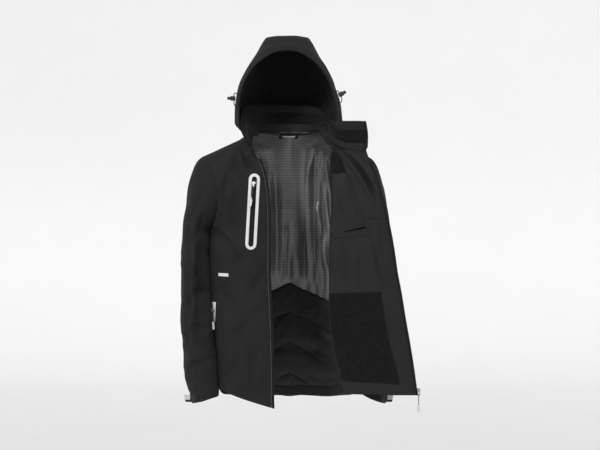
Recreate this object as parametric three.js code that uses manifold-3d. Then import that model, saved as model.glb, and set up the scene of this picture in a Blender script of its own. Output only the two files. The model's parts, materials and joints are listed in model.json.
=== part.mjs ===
// Hooded softshell jacket, size L, in the hollow pose of a worn garment with the left front open.
// Units are millimetres, +Z is up and the jacket faces -Y. The wearer's right is at -X.
// The origin lies between the shoulder seams at the base of the neck, where a wearer holds it up.

import * as THREE from "three";
import { mergeVertices } from "three/addons/utils/BufferGeometryUtils.js";
import Module from "manifold-3d";

const wasm = await Module();
wasm.setup();

// Driving dimensions

const shellCloth = 1.6;
const liningCloth = 1.0;
const fleece = 1.8;
const seamGap = 0.32;
const layerGap = 0.5;
const linerDrop = 6.5;
const armhole = { centreZ: -160, halfHeight: 110, frontDepth: 82, backDepth: 84 };
const rightArmhole = { centreX: -230, lean: 8, frontSag: 34, backSag: 22 };
const leftArmhole = { centreX: 210, lean: 8, frontSag: 34, backSag: 22 };
const tape = { width: 7, thick: 1.2, gap: 0.6, drop: 0.2 };
const chestPocket = { length: 206, width: 30, band: 8, topX: -91, topZ: -105, lowX: -102 };
const slider = { width: 9, length: 12, thick: 4.4, nose: 0.55, tail: 0.75, shoulder: 0.1 };
const bridge = { width: 2.6, halfFoot: 4.2, halfTop: 3.1, low: 1.8, high: 5.4, halfEye: 1.9, eyeLow: 2.25 };
const pivotOut = 3.15;
const cordWidth = 2.5;

const jacket = new THREE.Group();

const softshell = new THREE.MeshStandardMaterial({ color: 0x262727, roughness: 0.85 });
const fleeceCloth = new THREE.MeshStandardMaterial({ color: 0x181818, roughness: 1 });
const facingCloth = new THREE.MeshStandardMaterial({ color: 0x2b2c2b, roughness: 0.8 });
const meshCloth = new THREE.MeshStandardMaterial({ color: 0x5c5c5a, roughness: 0.5 });
const quiltCloth = new THREE.MeshStandardMaterial({ color: 0x1c1e1d, roughness: 0.6 });
const reflective = new THREE.MeshStandardMaterial({ color: 0xf2f2f2, roughness: 0.5 });
const steel = new THREE.MeshStandardMaterial({ color: 0xb8b8b8, roughness: 0.3, metalness: 0.9 });
const darkTrim = new THREE.MeshStandardMaterial({ color: 0x141414, roughness: 0.6 });
const lightTrim = new THREE.MeshStandardMaterial({ color: 0xdcdcda, roughness: 0.6 });

const lerp = (a, b, t) => a + (b - a) * t;
const point = (x, y, z) => new THREE.Vector3(x, y, z);
const toRadians = THREE.MathUtils.degToRad;
const lastOf = (list) => list.length - 1;
const range = (first, last) => Array.from({ length: last - first + 1 }, (_, k) => first + k);

// A short table with named columns becomes a list of objects.
function table(columns, rows) {
  return rows.map((row) => Object.fromEntries(columns.map((name, k) => [name, row[k]])));
}

// Torso sections from the shoulder seam down to the hem.
// turn is the place on the armhole in degrees; below the underarm side gives the side seam.
// edge is the right front's zip edge, fold and left are the open left front's roll and zip edge,
// seam is the share of the way from fold to left edge at which the facing seam runs.

const torso = table(
  ["name", "turn", "sideX", "sideZ", "edge", "backY", "backZ", "fold", "left", "seam", "roll"],
  [
    ["shoulder", 0, 0, 0, [-88, 5, 18], 78, 22, [110, 6, 6], [88, 5, 18], 0.5, 0],
    ["neck side", 24, 0, 0, [-99, -28, 4], 92, 5, [123, -24, -14], [109, -20, -6], 0.5, 0],
    ["neck front", 48, 0, 0, [-101, -62, -20], 108, -25, [122, -48, -42], [150, -56, -37], 0.3, 3],
    ["zip top", 74, 0, 0, [-90, -98, -56], 120, -65, [121, -64, -74], [206, -68, -44], 0.26, 5],
    ["collarbone", 100, 0, 0, [-74, -116, -88], 127, -110, [122, -78, -104], [226, -84, -95], 0.34, 6],
    ["upper chest", 126, 0, 0, [-63, -124, -130], 131, -155, [125, -88, -148], [243, -94, -145], 0.43, 6],
    ["chest", 152, 0, 0, [-58, -127, -178], 133, -200, [125, -92, -190], [254, -98, -188], 0.51, 6],
    ["underarm", 180, -222, -270, [-56, -130, -232], 133, -245, [123, -95, -232], [264, -100, -230], 0.6, 6],
    ["rib", 0, -224, -325, [-56, -132, -300], 131, -310, [119, -97, -300], [278, -102, -302], 0.65, 6],
    ["cross seam", 0, -223, -380, [-56, -133, -378], 128, -378, [119, -98, -372], [288, -103, -372], 0.7, 6],
    ["waist", 0, -219, -440, [-53, -133, -448], 126, -445, [119, -99, -430], [298, -103, -424], 0.73, 6],
    ["pocket", 0, -214, -500, [-50, -133, -518], 126, -515, [121, -99, -492], [309, -102, -492], 0.74, 6],
    ["hip", 0, -209, -560, [-48, -132, -588], 128, -585, [129, -99, -556], [321, -102, -560], 0.75, 6],
    ["seat", 0, -204, -622, [-47, -131, -654], 130, -650, [143, -98, -622], [332, -102, -628], 0.78, 6],
    ["hem seam", 0, -201, -666, [-47, -129, -708], 131, -704, [154, -97, -668], [339, -102, -678], 0.8, 6],
    ["hem", 0, -199, -694, [-46, -128, -737], 131, -732, [162, -96, -702], [344, -102, -706], 0.81, 6],
  ],
);

const rowOf = Object.fromEntries(torso.map((row, k) => [row.name, k]));
const underarm = rowOf["underarm"];
const crossSeam = rowOf["cross seam"];
const hemSeam = rowOf["hem seam"];
const hem = rowOf["hem"];
const leftSideShift = 19;
const leftSideForward = -25;

// Shares of the way across a panel, from the side seam to its middle or its zip edge

const across = [0, 0.015, 0.06, 0.14, 0.27, 0.42, 0.58, 0.74, 0.88, 1];
const shoulderShare = 0.63;
const backAcross = [...across.map((share) => share * shoulderShare), 0.75, 0.87, 1];
const toFold = [0, 0.03, 0.12, 0.3, 0.55, 0.8, 1];
const rollColumn = toFold.length;
const seamColumn = rollColumn + 4;
const leftColumns = rollColumn + 7;
const panelPower = 2.2;

function armholePoint(hole, turn, atFront) {
  const a = toRadians(turn);
  const side = Math.sign(hole.centreX);
  const sag = atFront ? hole.frontSag : hole.backSag;
  const depth = atFront ? -armhole.frontDepth : armhole.backDepth;
  return point(
    hole.centreX + side * (hole.lean * Math.cos(a) - sag * Math.sin(a) ** 2),
    4 + 4 * Math.cos(a) + depth * Math.sin(a),
    armhole.centreZ + armhole.halfHeight * Math.cos(a),
  );
}

function sidePoint(index, isRight, atFront) {
  const row = torso[index];
  if (index <= underarm) {
    return armholePoint(isRight ? rightArmhole : leftArmhole, row.turn, atFront);
  }
  if (isRight) {
    return point(row.sideX, 0, row.sideZ);
  }
  const down = (index - underarm) / (hem - underarm);
  return point(-row.sideX - leftSideShift * (1 - down), leftSideForward * down, row.sideZ);
}

// A panel's row leaves the side seam along Y and reaches its middle along X.
function roundedRow(side, middle, shares, roundness) {
  return shares.map((share) => {
    const curved = (1 - (1 - share) ** panelPower) ** (1 / panelPower);
    const reach = lerp(share, curved, roundness);
    return point(lerp(side.x, middle.x, share), lerp(side.y, middle.y, reach), lerp(side.z, middle.z, share));
  });
}

const roundnessOf = (index) => Math.min(1, index / 4);

// Largest creases, each a soft trough from one place to another on the front view of a panel

const creaseColumns = ["fromX", "fromZ", "toX", "toZ", "deep", "wide"];
const rightCreases = table(creaseColumns, [
  [-108, -70, -150, -190, 6, 13],
  [-150, -60, -186, -150, 5, 14],
  [-120, -400, -190, -470, 5, 18],
  [-70, -560, -160, -640, 5, 20],
]);
const leftCreases = table(creaseColumns, [
  [153, -52, 240, -152, 9, 12],
  [232, -310, 262, -440, 4, 9],
  [150, -350, 205, -415, 4, 22],
]);
const backCreases = table(creaseColumns, [
  [-150, -120, -120, -330, 6, 20],
  [150, -120, 118, -340, 6, 20],
  [-60, -470, -160, -560, 6, 22],
  [50, -500, 150, -600, 6, 24],
  [-20, -330, 60, -430, 4, 24],
]);

function creaseDepth(creases, x, z) {
  let total = 0;
  for (const crease of creases) {
    const from = new THREE.Vector2(crease.fromX, crease.fromZ);
    const along = new THREE.Vector2(crease.toX, crease.toZ).sub(from);
    const length = along.length();
    const away = new THREE.Vector2(x, z).sub(from);
    const t = away.dot(along) / (length * length);
    const beside = Math.abs(away.cross(along)) / length;
    const fade = Math.exp(-((2 * t - 1) ** 4));
    total += crease.deep * fade * Math.exp(-((beside / crease.wide) ** 2));
  }
  return total;
}

// A grid holds points by row and column, with a direction out of the cloth at each.
// sign says which way its rows and columns turn.

function makeGrid(points, sign, wraps = false) {
  const grid = { points, wraps, normals: points.map((row) => row.map(() => point(0, 0, 0))) };
  const columns = points[0].length;
  for (let i = 0; i + 1 < points.length; i += 1) {
    for (let j = 0; j < (wraps ? columns : columns - 1); j += 1) {
      const k = (j + 1) % columns;
      const corners = [[i, j], [i + 1, j], [i + 1, k], [i, k]];
      corners.forEach(([row, column], c) => {
        const [nextRow, nextColumn] = corners[(c + 1) % 4];
        const [lastRow, lastColumn] = corners[(c + 3) % 4];
        const ahead = points[nextRow][nextColumn].clone().sub(points[row][column]);
        const behind = points[lastRow][lastColumn].clone().sub(points[row][column]);
        const face = ahead.clone().cross(behind).normalize();
        grid.normals[row][column].addScaledVector(face, sign * ahead.angleTo(behind));
      });
    }
  }
  return grid;
}

function finishNormals(grids) {
  const shared = new Map();
  const keyOf = (p) => [p.x, p.y, p.z].map((value) => value.toFixed(2)).join(" ");
  const each = (visit) => {
    for (const grid of grids) {
      grid.points.forEach((row, i) => row.forEach((p, j) => visit(grid, i, j, keyOf(p))));
    }
  };
  each((grid, i, j, key) => {
    shared.set(key, (shared.get(key) ?? point(0, 0, 0)).add(grid.normals[i][j]));
  });
  each((grid, i, j, key) => {
    grid.normals[i][j] = shared.get(key).clone().normalize();
  });
}

function pressCreases(grid, creases, firstRow) {
  grid.points.forEach((row, i) => {
    if (i >= firstRow && i < hemSeam) {
      row.forEach((p, j) => {
        if (j > 1 && j < row.length - 1) {
          const depth = creaseDepth(creases, p.x, p.z);
          p.addScaledVector(grid.normals[i][j].clone().normalize(), -depth);
        }
      });
    }
  });
}

// The torso's three grids

const rightFrontPoints = torso.map((row, i) =>
  roundedRow(sidePoint(i, true, true), point(...row.edge), across, roundnessOf(i)),
);

function leftFrontRow(row, i) {
  const fold = point(...row.fold);
  const edge = point(...row.left);
  const side = sidePoint(i, false, true);
  if (i === 0) {
    return range(0, leftColumns).map((k) => side.clone().lerp(edge, k / leftColumns));
  }
  const reach = row.roll > 0 ? point(fold.x, fold.y + row.roll, fold.z) : fold;
  const points = roundedRow(side, reach, toFold, roundnessOf(i));
  const start = row.roll > 0 ? point(fold.x, fold.y - row.roll, fold.z) : fold.clone().lerp(edge, 0.2);
  const turn = row.roll > 0 ? point(fold.x - row.roll, fold.y, fold.z) : fold.clone().lerp(edge, 0.1);
  points.push(turn, start);
  const bow = row.roll * 1.4;
  for (const half of [0, 1]) {
    for (const step of [1, 2, 3]) {
      const share = half === 0 ? (row.seam * step) / 3 : lerp(row.seam, 1, step / 3);
      const p = start.clone().lerp(edge, share);
      p.y -= bow * Math.sin(Math.PI * share);
      points.push(p);
    }
  }
  return points;
}

const leftFrontPoints = torso.map(leftFrontRow);

const backPoints = torso.map((row, i) => {
  const middle = point(0, row.backY, row.backZ);
  if (i > 0) {
    const right = roundedRow(sidePoint(i, true, false), middle, backAcross, roundnessOf(i));
    const left = roundedRow(sidePoint(i, false, false), middle, backAcross, roundnessOf(i));
    return [...right, ...left.reverse().slice(1)];
  }
  const halfRow = (isRight) => {
    const neck = isRight ? point(...row.edge) : point(...row.left);
    const points = roundedRow(sidePoint(i, isRight, false), neck, across, 0);
    for (const [share, reach] of [[0.33, 0.56], [0.66, 0.88]]) {
      points.push(point(neck.x * (1 - share), lerp(neck.y, middle.y, reach), lerp(neck.z, middle.z, share)));
    }
    return points;
  };
  return [...halfRow(true), middle, ...halfRow(false).reverse()];
});

// Sleeves: rings from the armhole to the cuff, each between an outer and an inner point

const sleeveRings = table(
  ["name", "outer", "inner", "depth", "sag"],
  [
    ["armhole", [-238, 8, -50], [-222, 0, -270], 83, 1],
    ["cap", [-258, 8, -66], [-228, 2, -284], 84, 0.35],
    ["low cap", [-272, 10, -98], [-230, 4, -300], 86, 0.1],
    ["upper arm", [-284, 12, -148], [-229, 8, -314], 87, 0],
    ["biceps", [-292, 14, -204], [-230, 10, -330], 87, 0],
    ["mid arm", [-298, 16, -262], [-229.5, 12, -352], 86, 0],
    ["low arm", [-302, 18, -322], [-228, 14, -388], 84, 0],
    ["above elbow", [-304, 19, -380], [-225, 15, -430], 82, 0],
    ["elbow", [-305, 20, -436], [-221.5, 15, -474], 80, 0],
    ["below elbow", [-304, 18, -492], [-217.5, 12, -520], 78, 0],
    ["forearm", [-301, 12, -548], [-213.5, 6, -566], 74, 0],
    ["low forearm", [-298, 4, -606], [-209.5, -2, -614], 68, 0],
    ["wrist", [-292, -6, -662], [-206, -12, -656], 59, 0],
    ["cuff seam", [-277, -12, -712], [-204, -18, -690], 47, 0],
    ["cuff edge", [-271, -14, -739], [-203, -20, -714], 45, 0],
  ],
);
const cuffSeam = sleeveRings.length - 2;
const ringTurns = torso.slice(0, underarm + 1).map((row) => row.turn);
const sleeveCreases = table(
  ["ring", "turn", "deep", "wide"],
  [
    [4, 140, 7, 40],
    [5, 60, 5, 35],
    [7, 100, 6, 45],
    [8, 40, 7, 40],
    [8, 250, 6, 50],
    [10, 110, 6, 45],
    [11, 30, 6, 40],
    [11, 240, 5, 50],
  ],
);
const leftSleeveShift = { top: -18.5, low: 0 };

function sleevePoints(isRight) {
  const hole = isRight ? rightArmhole : leftArmhole;
  const turns = [...ringTurns, ...ringTurns.slice(1, -1).reverse().map((turn) => 360 - turn)];
  return sleeveRings.map((ring, i) => {
    const down = Math.max(0, (i - 1) / (sleeveRings.length - 2));
    const shift = isRight ? 0 : lerp(leftSleeveShift.top, leftSleeveShift.low, down);
    const place = ([x, y, z]) => point(isRight ? x : -x + shift, y, z);
    const outer = place(ring.outer);
    const inner = place(ring.inner);
    return turns.map((turn) => {
      const atFront = turn <= 180;
      if (i === 0) {
        return armholePoint(hole, atFront ? turn : 360 - turn, atFront);
      }
      const a = toRadians(turn);
      const p = inner.clone().lerp(outer, (1 + Math.cos(a)) / 2);
      const sag = (atFront ? hole.frontSag : hole.backSag) * ring.sag * Math.sin(a) ** 2;
      p.x += (isRight ? 1 : -1) * sag;
      p.y -= ring.depth * Math.sin(a);
      for (const crease of sleeveCreases) {
        const off = (turn - crease.turn) / crease.wide;
        const press = crease.ring === i ? crease.deep * Math.exp(-off * off) : 0;
        p.lerp(point((outer.x + inner.x) / 2, (outer.y + inner.y) / 2, p.z), press / ring.depth);
      }
      return p;
    });
  });
}

const rightFront = makeGrid(rightFrontPoints, 1);
const leftFront = makeGrid(leftFrontPoints, -1);
const back = makeGrid(backPoints, -1);
const rightSleeve = makeGrid(sleevePoints(true), 1, true);
const leftSleeve = makeGrid(sleevePoints(false), -1, true);
pressCreases(rightFront, rightCreases, 2);
pressCreases(leftFront, leftCreases, 3);
pressCreases(back, backCreases, 2);

const rightFrontGrid = makeGrid(rightFront.points, 1);
const leftFrontGrid = makeGrid(leftFront.points, -1);
const backGrid = makeGrid(back.points, -1);
finishNormals([rightFrontGrid, leftFrontGrid, backGrid, rightSleeve, leftSleeve]);

// Both sides of a straight shoulder seam share one direction.
function shoulderNormal(from, to) {
  const along = to.clone().sub(from);
  return point(-along.z, 0, along.x).multiplyScalar(Math.sign(along.x)).normalize();
}

function alignShoulder(grid, columns, isRight) {
  const from = sidePoint(0, isRight, true);
  const neck = point(...(isRight ? torso[0].edge : torso[0].left));
  for (const column of columns) {
    grid.normals[0][column] = shoulderNormal(from, neck);
  }
}

const backColumns = lastOf(backGrid.points[0]);
alignShoulder(rightFrontGrid, range(1, lastOf(across)), true);
alignShoulder(backGrid, range(1, lastOf(across)), true);
alignShoulder(leftFrontGrid, range(1, leftColumns), false);
alignShoulder(backGrid, range(backColumns - lastOf(across), backColumns - 1), false);

// Part of a grid, its border drawn in by half the seam gap

function part(grid, firstRow, lastRow, firstColumn, lastColumn, gap = seamGap / 2) {
  const rows = range(firstRow, lastRow);
  const columns = grid.wraps ? range(0, lastOf(grid.points[0])) : range(firstColumn, lastColumn);
  const towards = (p, q) => p.clone().lerp(q, Math.min(0.4, gap / p.distanceTo(q)));
  const points = rows.map((i) =>
    columns.map((j) => {
      let p = grid.points[i][j].clone();
      if (!grid.wraps && j === firstColumn) {
        p = towards(p, grid.points[i][j + 1]);
      }
      if (!grid.wraps && j === lastColumn) {
        p = towards(p, grid.points[i][j - 1]);
      }
      if (i === firstRow) {
        p.add(towards(grid.points[i][j], grid.points[i + 1][j])).sub(grid.points[i][j]);
      }
      if (i === lastRow) {
        p.add(towards(grid.points[i][j], grid.points[i - 1][j])).sub(grid.points[i][j]);
      }
      return p;
    }),
  );
  const normals = rows.map((i) => columns.map((j) => grid.normals[i][j].clone()));
  return { points, normals, wraps: grid.wraps };
}

// A closed wall between two depths below a grid; a depth may change from point to point

function wall(name, material, grid, top, low) {
  const rows = grid.points.length;
  const columns = grid.points[0].length;
  const depthAt = (depth, i, j) => (typeof depth === "function" ? depth(i, j) : depth);
  const positions = [];
  for (const depth of [top, low]) {
    grid.points.forEach((row, i) =>
      row.forEach((p, j) => {
        const moved = p.clone().addScaledVector(grid.normals[i][j], -depthAt(depth, i, j));
        positions.push(moved.x, moved.y, moved.z);
      }),
    );
  }
  const at = (layer, i, j) => layer * rows * columns + i * columns + (j % columns);
  const faces = [];
  const quad = (a, b, c, d) => faces.push(a, b, c, a, c, d);
  const lastColumn = grid.wraps ? columns : columns - 1;
  for (let i = 0; i + 1 < rows; i += 1) {
    for (let j = 0; j < lastColumn; j += 1) {
      quad(at(0, i, j), at(0, i + 1, j), at(0, i + 1, j + 1), at(0, i, j + 1));
      quad(at(1, i, j), at(1, i, j + 1), at(1, i + 1, j + 1), at(1, i + 1, j));
    }
  }
  for (let j = 0; j < lastColumn; j += 1) {
    quad(at(0, 0, j), at(0, 0, j + 1), at(1, 0, j + 1), at(1, 0, j));
    quad(at(0, rows - 1, j), at(1, rows - 1, j), at(1, rows - 1, j + 1), at(0, rows - 1, j + 1));
  }
  for (let i = 0; !grid.wraps && i + 1 < rows; i += 1) {
    quad(at(0, i, 0), at(1, i, 0), at(1, i + 1, 0), at(0, i + 1, 0));
    quad(at(0, i, columns - 1), at(0, i + 1, columns - 1), at(1, i + 1, columns - 1), at(1, i, columns - 1));
  }
  addMesh(name, material, closedGeometry(positions, faces));
}

function closedGeometry(positions, faces) {
  let volume = 0;
  const corner = (k) => point(...positions.slice(3 * k, 3 * k + 3));
  for (let k = 0; k < faces.length; k += 3) {
    volume += corner(faces[k]).dot(corner(faces[k + 1]).cross(corner(faces[k + 2])));
  }
  if (volume < 0) {
    faces.reverse();
  }
  const geometry = new THREE.BufferGeometry();
  geometry.setAttribute("position", new THREE.Float32BufferAttribute(positions, 3));
  geometry.setIndex(faces);
  geometry.computeVertexNormals();
  return geometry;
}

function addMesh(name, material, geometry) {
  const mesh = new THREE.Mesh(geometry, material);
  mesh.name = name;
  jacket.add(mesh);
  return mesh;
}

// A place on a panel given by column and row, on the same triangles as the panel's wall

function onGrid(grid, column, row) {
  const i = Math.min(Math.floor(row), grid.points.length - 2);
  const j = Math.min(Math.floor(column), grid.points[0].length - 2);
  const u = column - j;
  const v = row - i;
  const blend = (list) => {
    const near = list[i][j];
    const far = list[i + 1][j + 1];
    const side = v > u ? list[i + 1][j] : list[i][j + 1];
    const sideShare = Math.abs(v - u);
    const farShare = Math.min(u, v);
    return near
      .clone()
      .multiplyScalar(1 - sideShare - farShare)
      .addScaledVector(side, sideShare)
      .addScaledVector(far, farShare);
  };
  return { p: blend(grid.points), n: blend(grid.normals).normalize() };
}

// A patch over rows and columns that may fall between those of its panel

function patch(grid, columns, rows, placeRow = (column, row) => row) {
  const places = rows.map((row) => columns.map((column) => onGrid(grid, column, placeRow(column, row))));
  return {
    points: places.map((line) => line.map((place) => place.p)),
    normals: places.map((line) => line.map((place) => place.n)),
    wraps: false,
  };
}

const steps = (first, last, count) => range(0, count).map((k) => lerp(first, last, k / count));

// Shell panels

const frontEdge = lastOf(across);
const sideFront = 3;
const topCentre = backColumns / 2;
const panels = [
  ["Right_Front_Upper", rightFrontGrid, 0, crossSeam, 0, frontEdge],
  ["Right_Front_Lower", rightFrontGrid, crossSeam, hemSeam, sideFront, frontEdge],
  ["Right_Front_Side", rightFrontGrid, crossSeam, hemSeam, 0, sideFront],
  ["Right_Hem_Band", rightFrontGrid, hemSeam, hem, 0, frontEdge],
  ["Left_Front_Upper", leftFrontGrid, 0, crossSeam, 0, leftColumns],
  ["Left_Front_Lower", leftFrontGrid, crossSeam, hemSeam, sideFront, leftColumns],
  ["Left_Front_Side", leftFrontGrid, crossSeam, hemSeam, 0, sideFront],
  ["Left_Hem_Band", leftFrontGrid, hemSeam, hem, 0, leftColumns],
  ["Back", backGrid, 0, hemSeam, 0, backColumns],
  ["Back_Hem_Band", backGrid, hemSeam, hem, 0, backColumns],
];
for (const [name, grid, ...limits] of panels) {
  wall(name, softshell, part(grid, ...limits), 0, shellCloth);
}
for (const [side, sleeve] of [["Right", rightSleeve], ["Left", leftSleeve]]) {
  wall(side + "_Sleeve", softshell, part(sleeve, 0, cuffSeam, 0, 0, 2 * seamGap), 0, shellCloth);
  wall(side + "_Cuff", softshell, part(sleeve, cuffSeam, cuffSeam + 1), 0, shellCloth);
}

// Collar: stations along the neckline from the right zip to the left zip, each with its top point

const collarTops = [
  [-131, -76, 17],
  [-134, -42, 50],
  [-131, -4, 76],
  [-113, 38, 93],
  [-74, 76, 99],
  [-36, 92, 101],
  [0, 97, 101],
  [38, 92, 99],
  [74, 76, 92],
  [104, 34, 68],
  [113, -12, 54],
  [132, -53, 42],
  [204, -74, 40],
];
const collarHeights = [0, 0.15, 0.3, 0.51, 0.72, 0.86, 1];
const lowBandTop = 2;
const fleeceTop = 4;
const collarBow = 5;
const collarBowCentre = { x: 0, y: 10 };
const collarLift = { outer: 1.7, low: 3.6 };
const collarInside = shellCloth + layerGap + 0.35;
const neckRows = [rowOf["zip top"], rowOf["neck front"], rowOf["neck side"], 0];
const backNeck = range(lastOf(across) + 1, backColumns - lastOf(across) - 1);
const neckline = [
  ...neckRows.map((row) => rightFrontGrid.points[row][frontEdge]),
  ...backNeck.map((column) => backGrid.points[0][column]),
  ...[...neckRows].reverse().map((row) => leftFrontGrid.points[row][leftColumns]),
];

const collarPoints = collarHeights.map((height) =>
  neckline.map((base, j) => {
    const p = base.clone().lerp(point(...collarTops[j]), height);
    const away = point(p.x - collarBowCentre.x, p.y - collarBowCentre.y, 0).normalize();
    return p.addScaledVector(away, collarBow * Math.sin(Math.PI * height));
  }),
);
const collarGrid = makeGrid(collarPoints, 1);
finishNormals([collarGrid]);

// Lifts a grid's first row clear of the pieces that it is sewn to.
function raised(grid, lift) {
  const points = grid.points.map((row) => row.map((p) => p.clone()));
  points[0] = points[0].map((p, j) => p.lerp(points[1][j], lift / p.distanceTo(points[1][j])));
  return { ...grid, points };
}

const topRow = lastOf(collarHeights);
const lastStation = lastOf(neckline);
wall(
  "Collar_Outer", softshell,
  raised(part(collarGrid, 0, topRow, 0, lastStation), collarLift.outer),
  0, shellCloth,
);
wall(
  "Collar_Low_Facing", facingCloth,
  raised(part(collarGrid, 0, lowBandTop, 0, lastStation), collarLift.low),
  collarInside, collarInside + liningCloth,
);
wall(
  "Collar_Fleece_Strip", fleeceCloth,
  part(collarGrid, lowBandTop, fleeceTop, 0, lastStation),
  collarInside, collarInside + fleece,
);
wall(
  "Collar_Top_Facing", softshell,
  part(collarGrid, fleeceTop, topRow, 0, lastStation),
  collarInside, collarInside + liningCloth,
);

// Hood: sections fan from the face opening over the crown to the nape.
// low is the right end on the neck seam; half is the half width; shape turns the
// pointed arch of the opening (0) into the flat-topped crown (1).

const hoodSections = table(
  ["name", "low", "half", "topY", "topZ", "shape"],
  [
    ["opening", [-114.2, -45, 2], 137, -78, 237, 0],
    ["tunnel seam", [-112.2, -30, 9], 143, -56, 254, 0.15],
    ["forehead", [-107, -16, 16], 149, -18, 271, 0.5],
    ["crown front", [-104, -4, 21], 151, 22, 281, 0.9],
    ["crown", [-101, 8, 25], 151, 62, 282, 1],
    ["crown back", [-96, 19, 28], 147, 102, 262, 0.9],
    ["upper back", [-90, 29, 30], 137, 132, 216, 0.7],
    ["back of head", [-84, 38, 31], 123, 145, 162, 0.5],
    ["low back", [-78, 47, 32], 105, 142, 110, 0.3],
    ["nape", [-72, 55, 33], 86, 122, 66, 0.1],
    ["neck seam", [-66, 63, 34], 66, 88, 35, 0],
  ],
);
const hoodArch = table(
  ["side", "rise", "crownSide", "crownRise"],
  [
    [0, 0, 0, 0],
    [0.95, 0.045, 0.95, 0.045],
    [1.0, 0.12, 1.0, 0.1],
    [1.0, 0.26, 0.99, 0.22],
    [0.985, 0.38, 0.955, 0.34],
    [0.94, 0.52, 0.875, 0.46],
    [0.86, 0.64, 0.8, 0.57],
    [0.74, 0.76, 0.69, 0.7],
    [0.58, 0.86, 0.585, 0.81],
    [0.42, 0.93, 0.47, 0.92],
    [0.29, 0.968, 0.4, 0.982],
    [0.15, 0.992, 0.2, 0.998],
    [0, 1, 0, 1],
  ],
);
const hoodCentreX = -5;
const hoodLeftLow = { x: 28, y: 8, z: -6, sections: 5 };
const hoodStrip = lastOf(hoodArch) - 2;
const hoodColumns = 2 * lastOf(hoodArch);

function hoodRow(section, i) {
  const isLast = i === lastOf(hoodSections);
  const half = (side) =>
    hoodArch.map((arch, k) => {
      const shift = side > 0 ? Math.max(0, 1 - i / hoodLeftLow.sections) : 0;
      const lowX = section.low[0] - shift * hoodLeftLow.x;
      const lowY = section.low[1] + shift * hoodLeftLow.y;
      const lowZ = section.low[2] + shift * hoodLeftLow.z;
      const share = k / lastOf(hoodArch);
      const wide = lerp(arch.side, arch.crownSide, section.shape) * section.half;
      const rise = lerp(arch.rise, arch.crownRise, section.shape);
      if (isLast) {
        const turn = (share * Math.PI) / 2;
        const y = lerp(lowY, section.topY, Math.sin(turn));
        return point(side * -lowX * Math.cos(turn), y, lerp(lowZ, section.topZ, share));
      }
      const x = k === 0 ? -lowX : Math.max(wide, k === 1 ? -lowX * 1.12 : 0);
      const centre = hoodCentreX * Math.min(1, rise * 2);
      return point(side * x + centre, lerp(lowY, section.topY, rise), lerp(lowZ, section.topZ, rise));
    });
  return [...half(-1), ...half(1).reverse().slice(1)];
}

const hoodGrid = makeGrid(hoodSections.map(hoodRow), -1);
finishNormals([hoodGrid]);

const hoodLining = shellCloth + layerGap;
const nape = lastOf(hoodSections);
const crownLeft = hoodColumns - hoodStrip;
const hoodMiddle = hoodColumns / 2;
wall("Hood_Tunnel", softshell, part(hoodGrid, 0, 1, 0, hoodColumns, 0.3), 0, hoodLining + fleece);
wall("Hood_Right_Side", softshell, part(hoodGrid, 1, nape, 0, hoodStrip), 0, shellCloth);
wall("Hood_Crown_Strip", softshell, part(hoodGrid, 1, nape, hoodStrip, crownLeft), 0, shellCloth);
wall("Hood_Left_Side", softshell, part(hoodGrid, 1, nape, crownLeft, hoodColumns), 0, shellCloth);
wall("Hood_Right_Lining", fleeceCloth, part(hoodGrid, 1, nape, 0, hoodMiddle), hoodLining, hoodLining + fleece);
wall(
  "Hood_Left_Lining", fleeceCloth,
  part(hoodGrid, 1, nape, hoodMiddle, hoodColumns),
  hoodLining, hoodLining + fleece,
);

// Inside of the open left front, in one layer on the shell

const inside = shellCloth + layerGap;
const firstInner = rollColumn;
const welt = { near: 7.47, far: 7.3, high: 0.26, out: 0.7 };
function insideLeft(name, cloth, rows, columns, thick, gap = seamGap / 2) {
  wall(name, cloth, part(leftFrontGrid, rows[0], rows[1], columns[0], columns[1], gap), inside, inside + thick);
}
insideLeft("Left_Inner_Yoke", fleeceCloth, [2, 4], [firstInner, seamColumn], fleece);
insideLeft("Left_Inner_Panel", facingCloth, [4, 10], [firstInner, seamColumn], liningCloth);
insideLeft("Left_Fleece_Pocket", fleeceCloth, [10, hemSeam], [firstInner, seamColumn], fleece);
insideLeft("Left_Upper_Facing", facingCloth, [2, 7], [seamColumn, leftColumns], liningCloth, 4 * seamGap);
insideLeft("Left_Lower_Facing", facingCloth, [7, hemSeam], [seamColumn, leftColumns], liningCloth);
insideLeft("Left_Hem_Facing", facingCloth, [hemSeam, hem], [firstInner, leftColumns], liningCloth);
const weltTop = inside + liningCloth + welt.out;
wall(
  "Left_Pocket_Welt", facingCloth,
  patch(
    leftFrontGrid,
    range(firstInner + 1, seamColumn),
    [0, 1],
    (column, row) => lerp(welt.near, welt.far, (column - firstInner - 1) / 3) + row * welt.high,
  ),
  weltTop, weltTop + liningCloth,
);

// Back lining: silver mesh above a chevron seam, quilted cloth below it

const chevron = { apexZ: -412, slope: 0.42, spacing: 84 };
const liningFirst = 4;
const liningLast = backColumns - 3;
const drapes = table(
  ["x", "deep", "wide"],
  [
    [34, 5, 9],
    [62, 8, 9],
    [88, 10, 9],
    [113, 11, 9],
    [138, 10, 9],
    [-58, 4, 14],
    [-110, 4, 16],
  ],
);

// The row at which a column of the back grid crosses a height
function rowAtHeight(column, z) {
  for (let row = 0; row < hem; row += 1) {
    const high = onGrid(backGrid, column, row).p.z;
    const low = onGrid(backGrid, column, row + 1).p.z;
    if (z <= high && z > low) {
      return row + (high - z) / (high - low);
    }
  }
  return hem;
}

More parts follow.
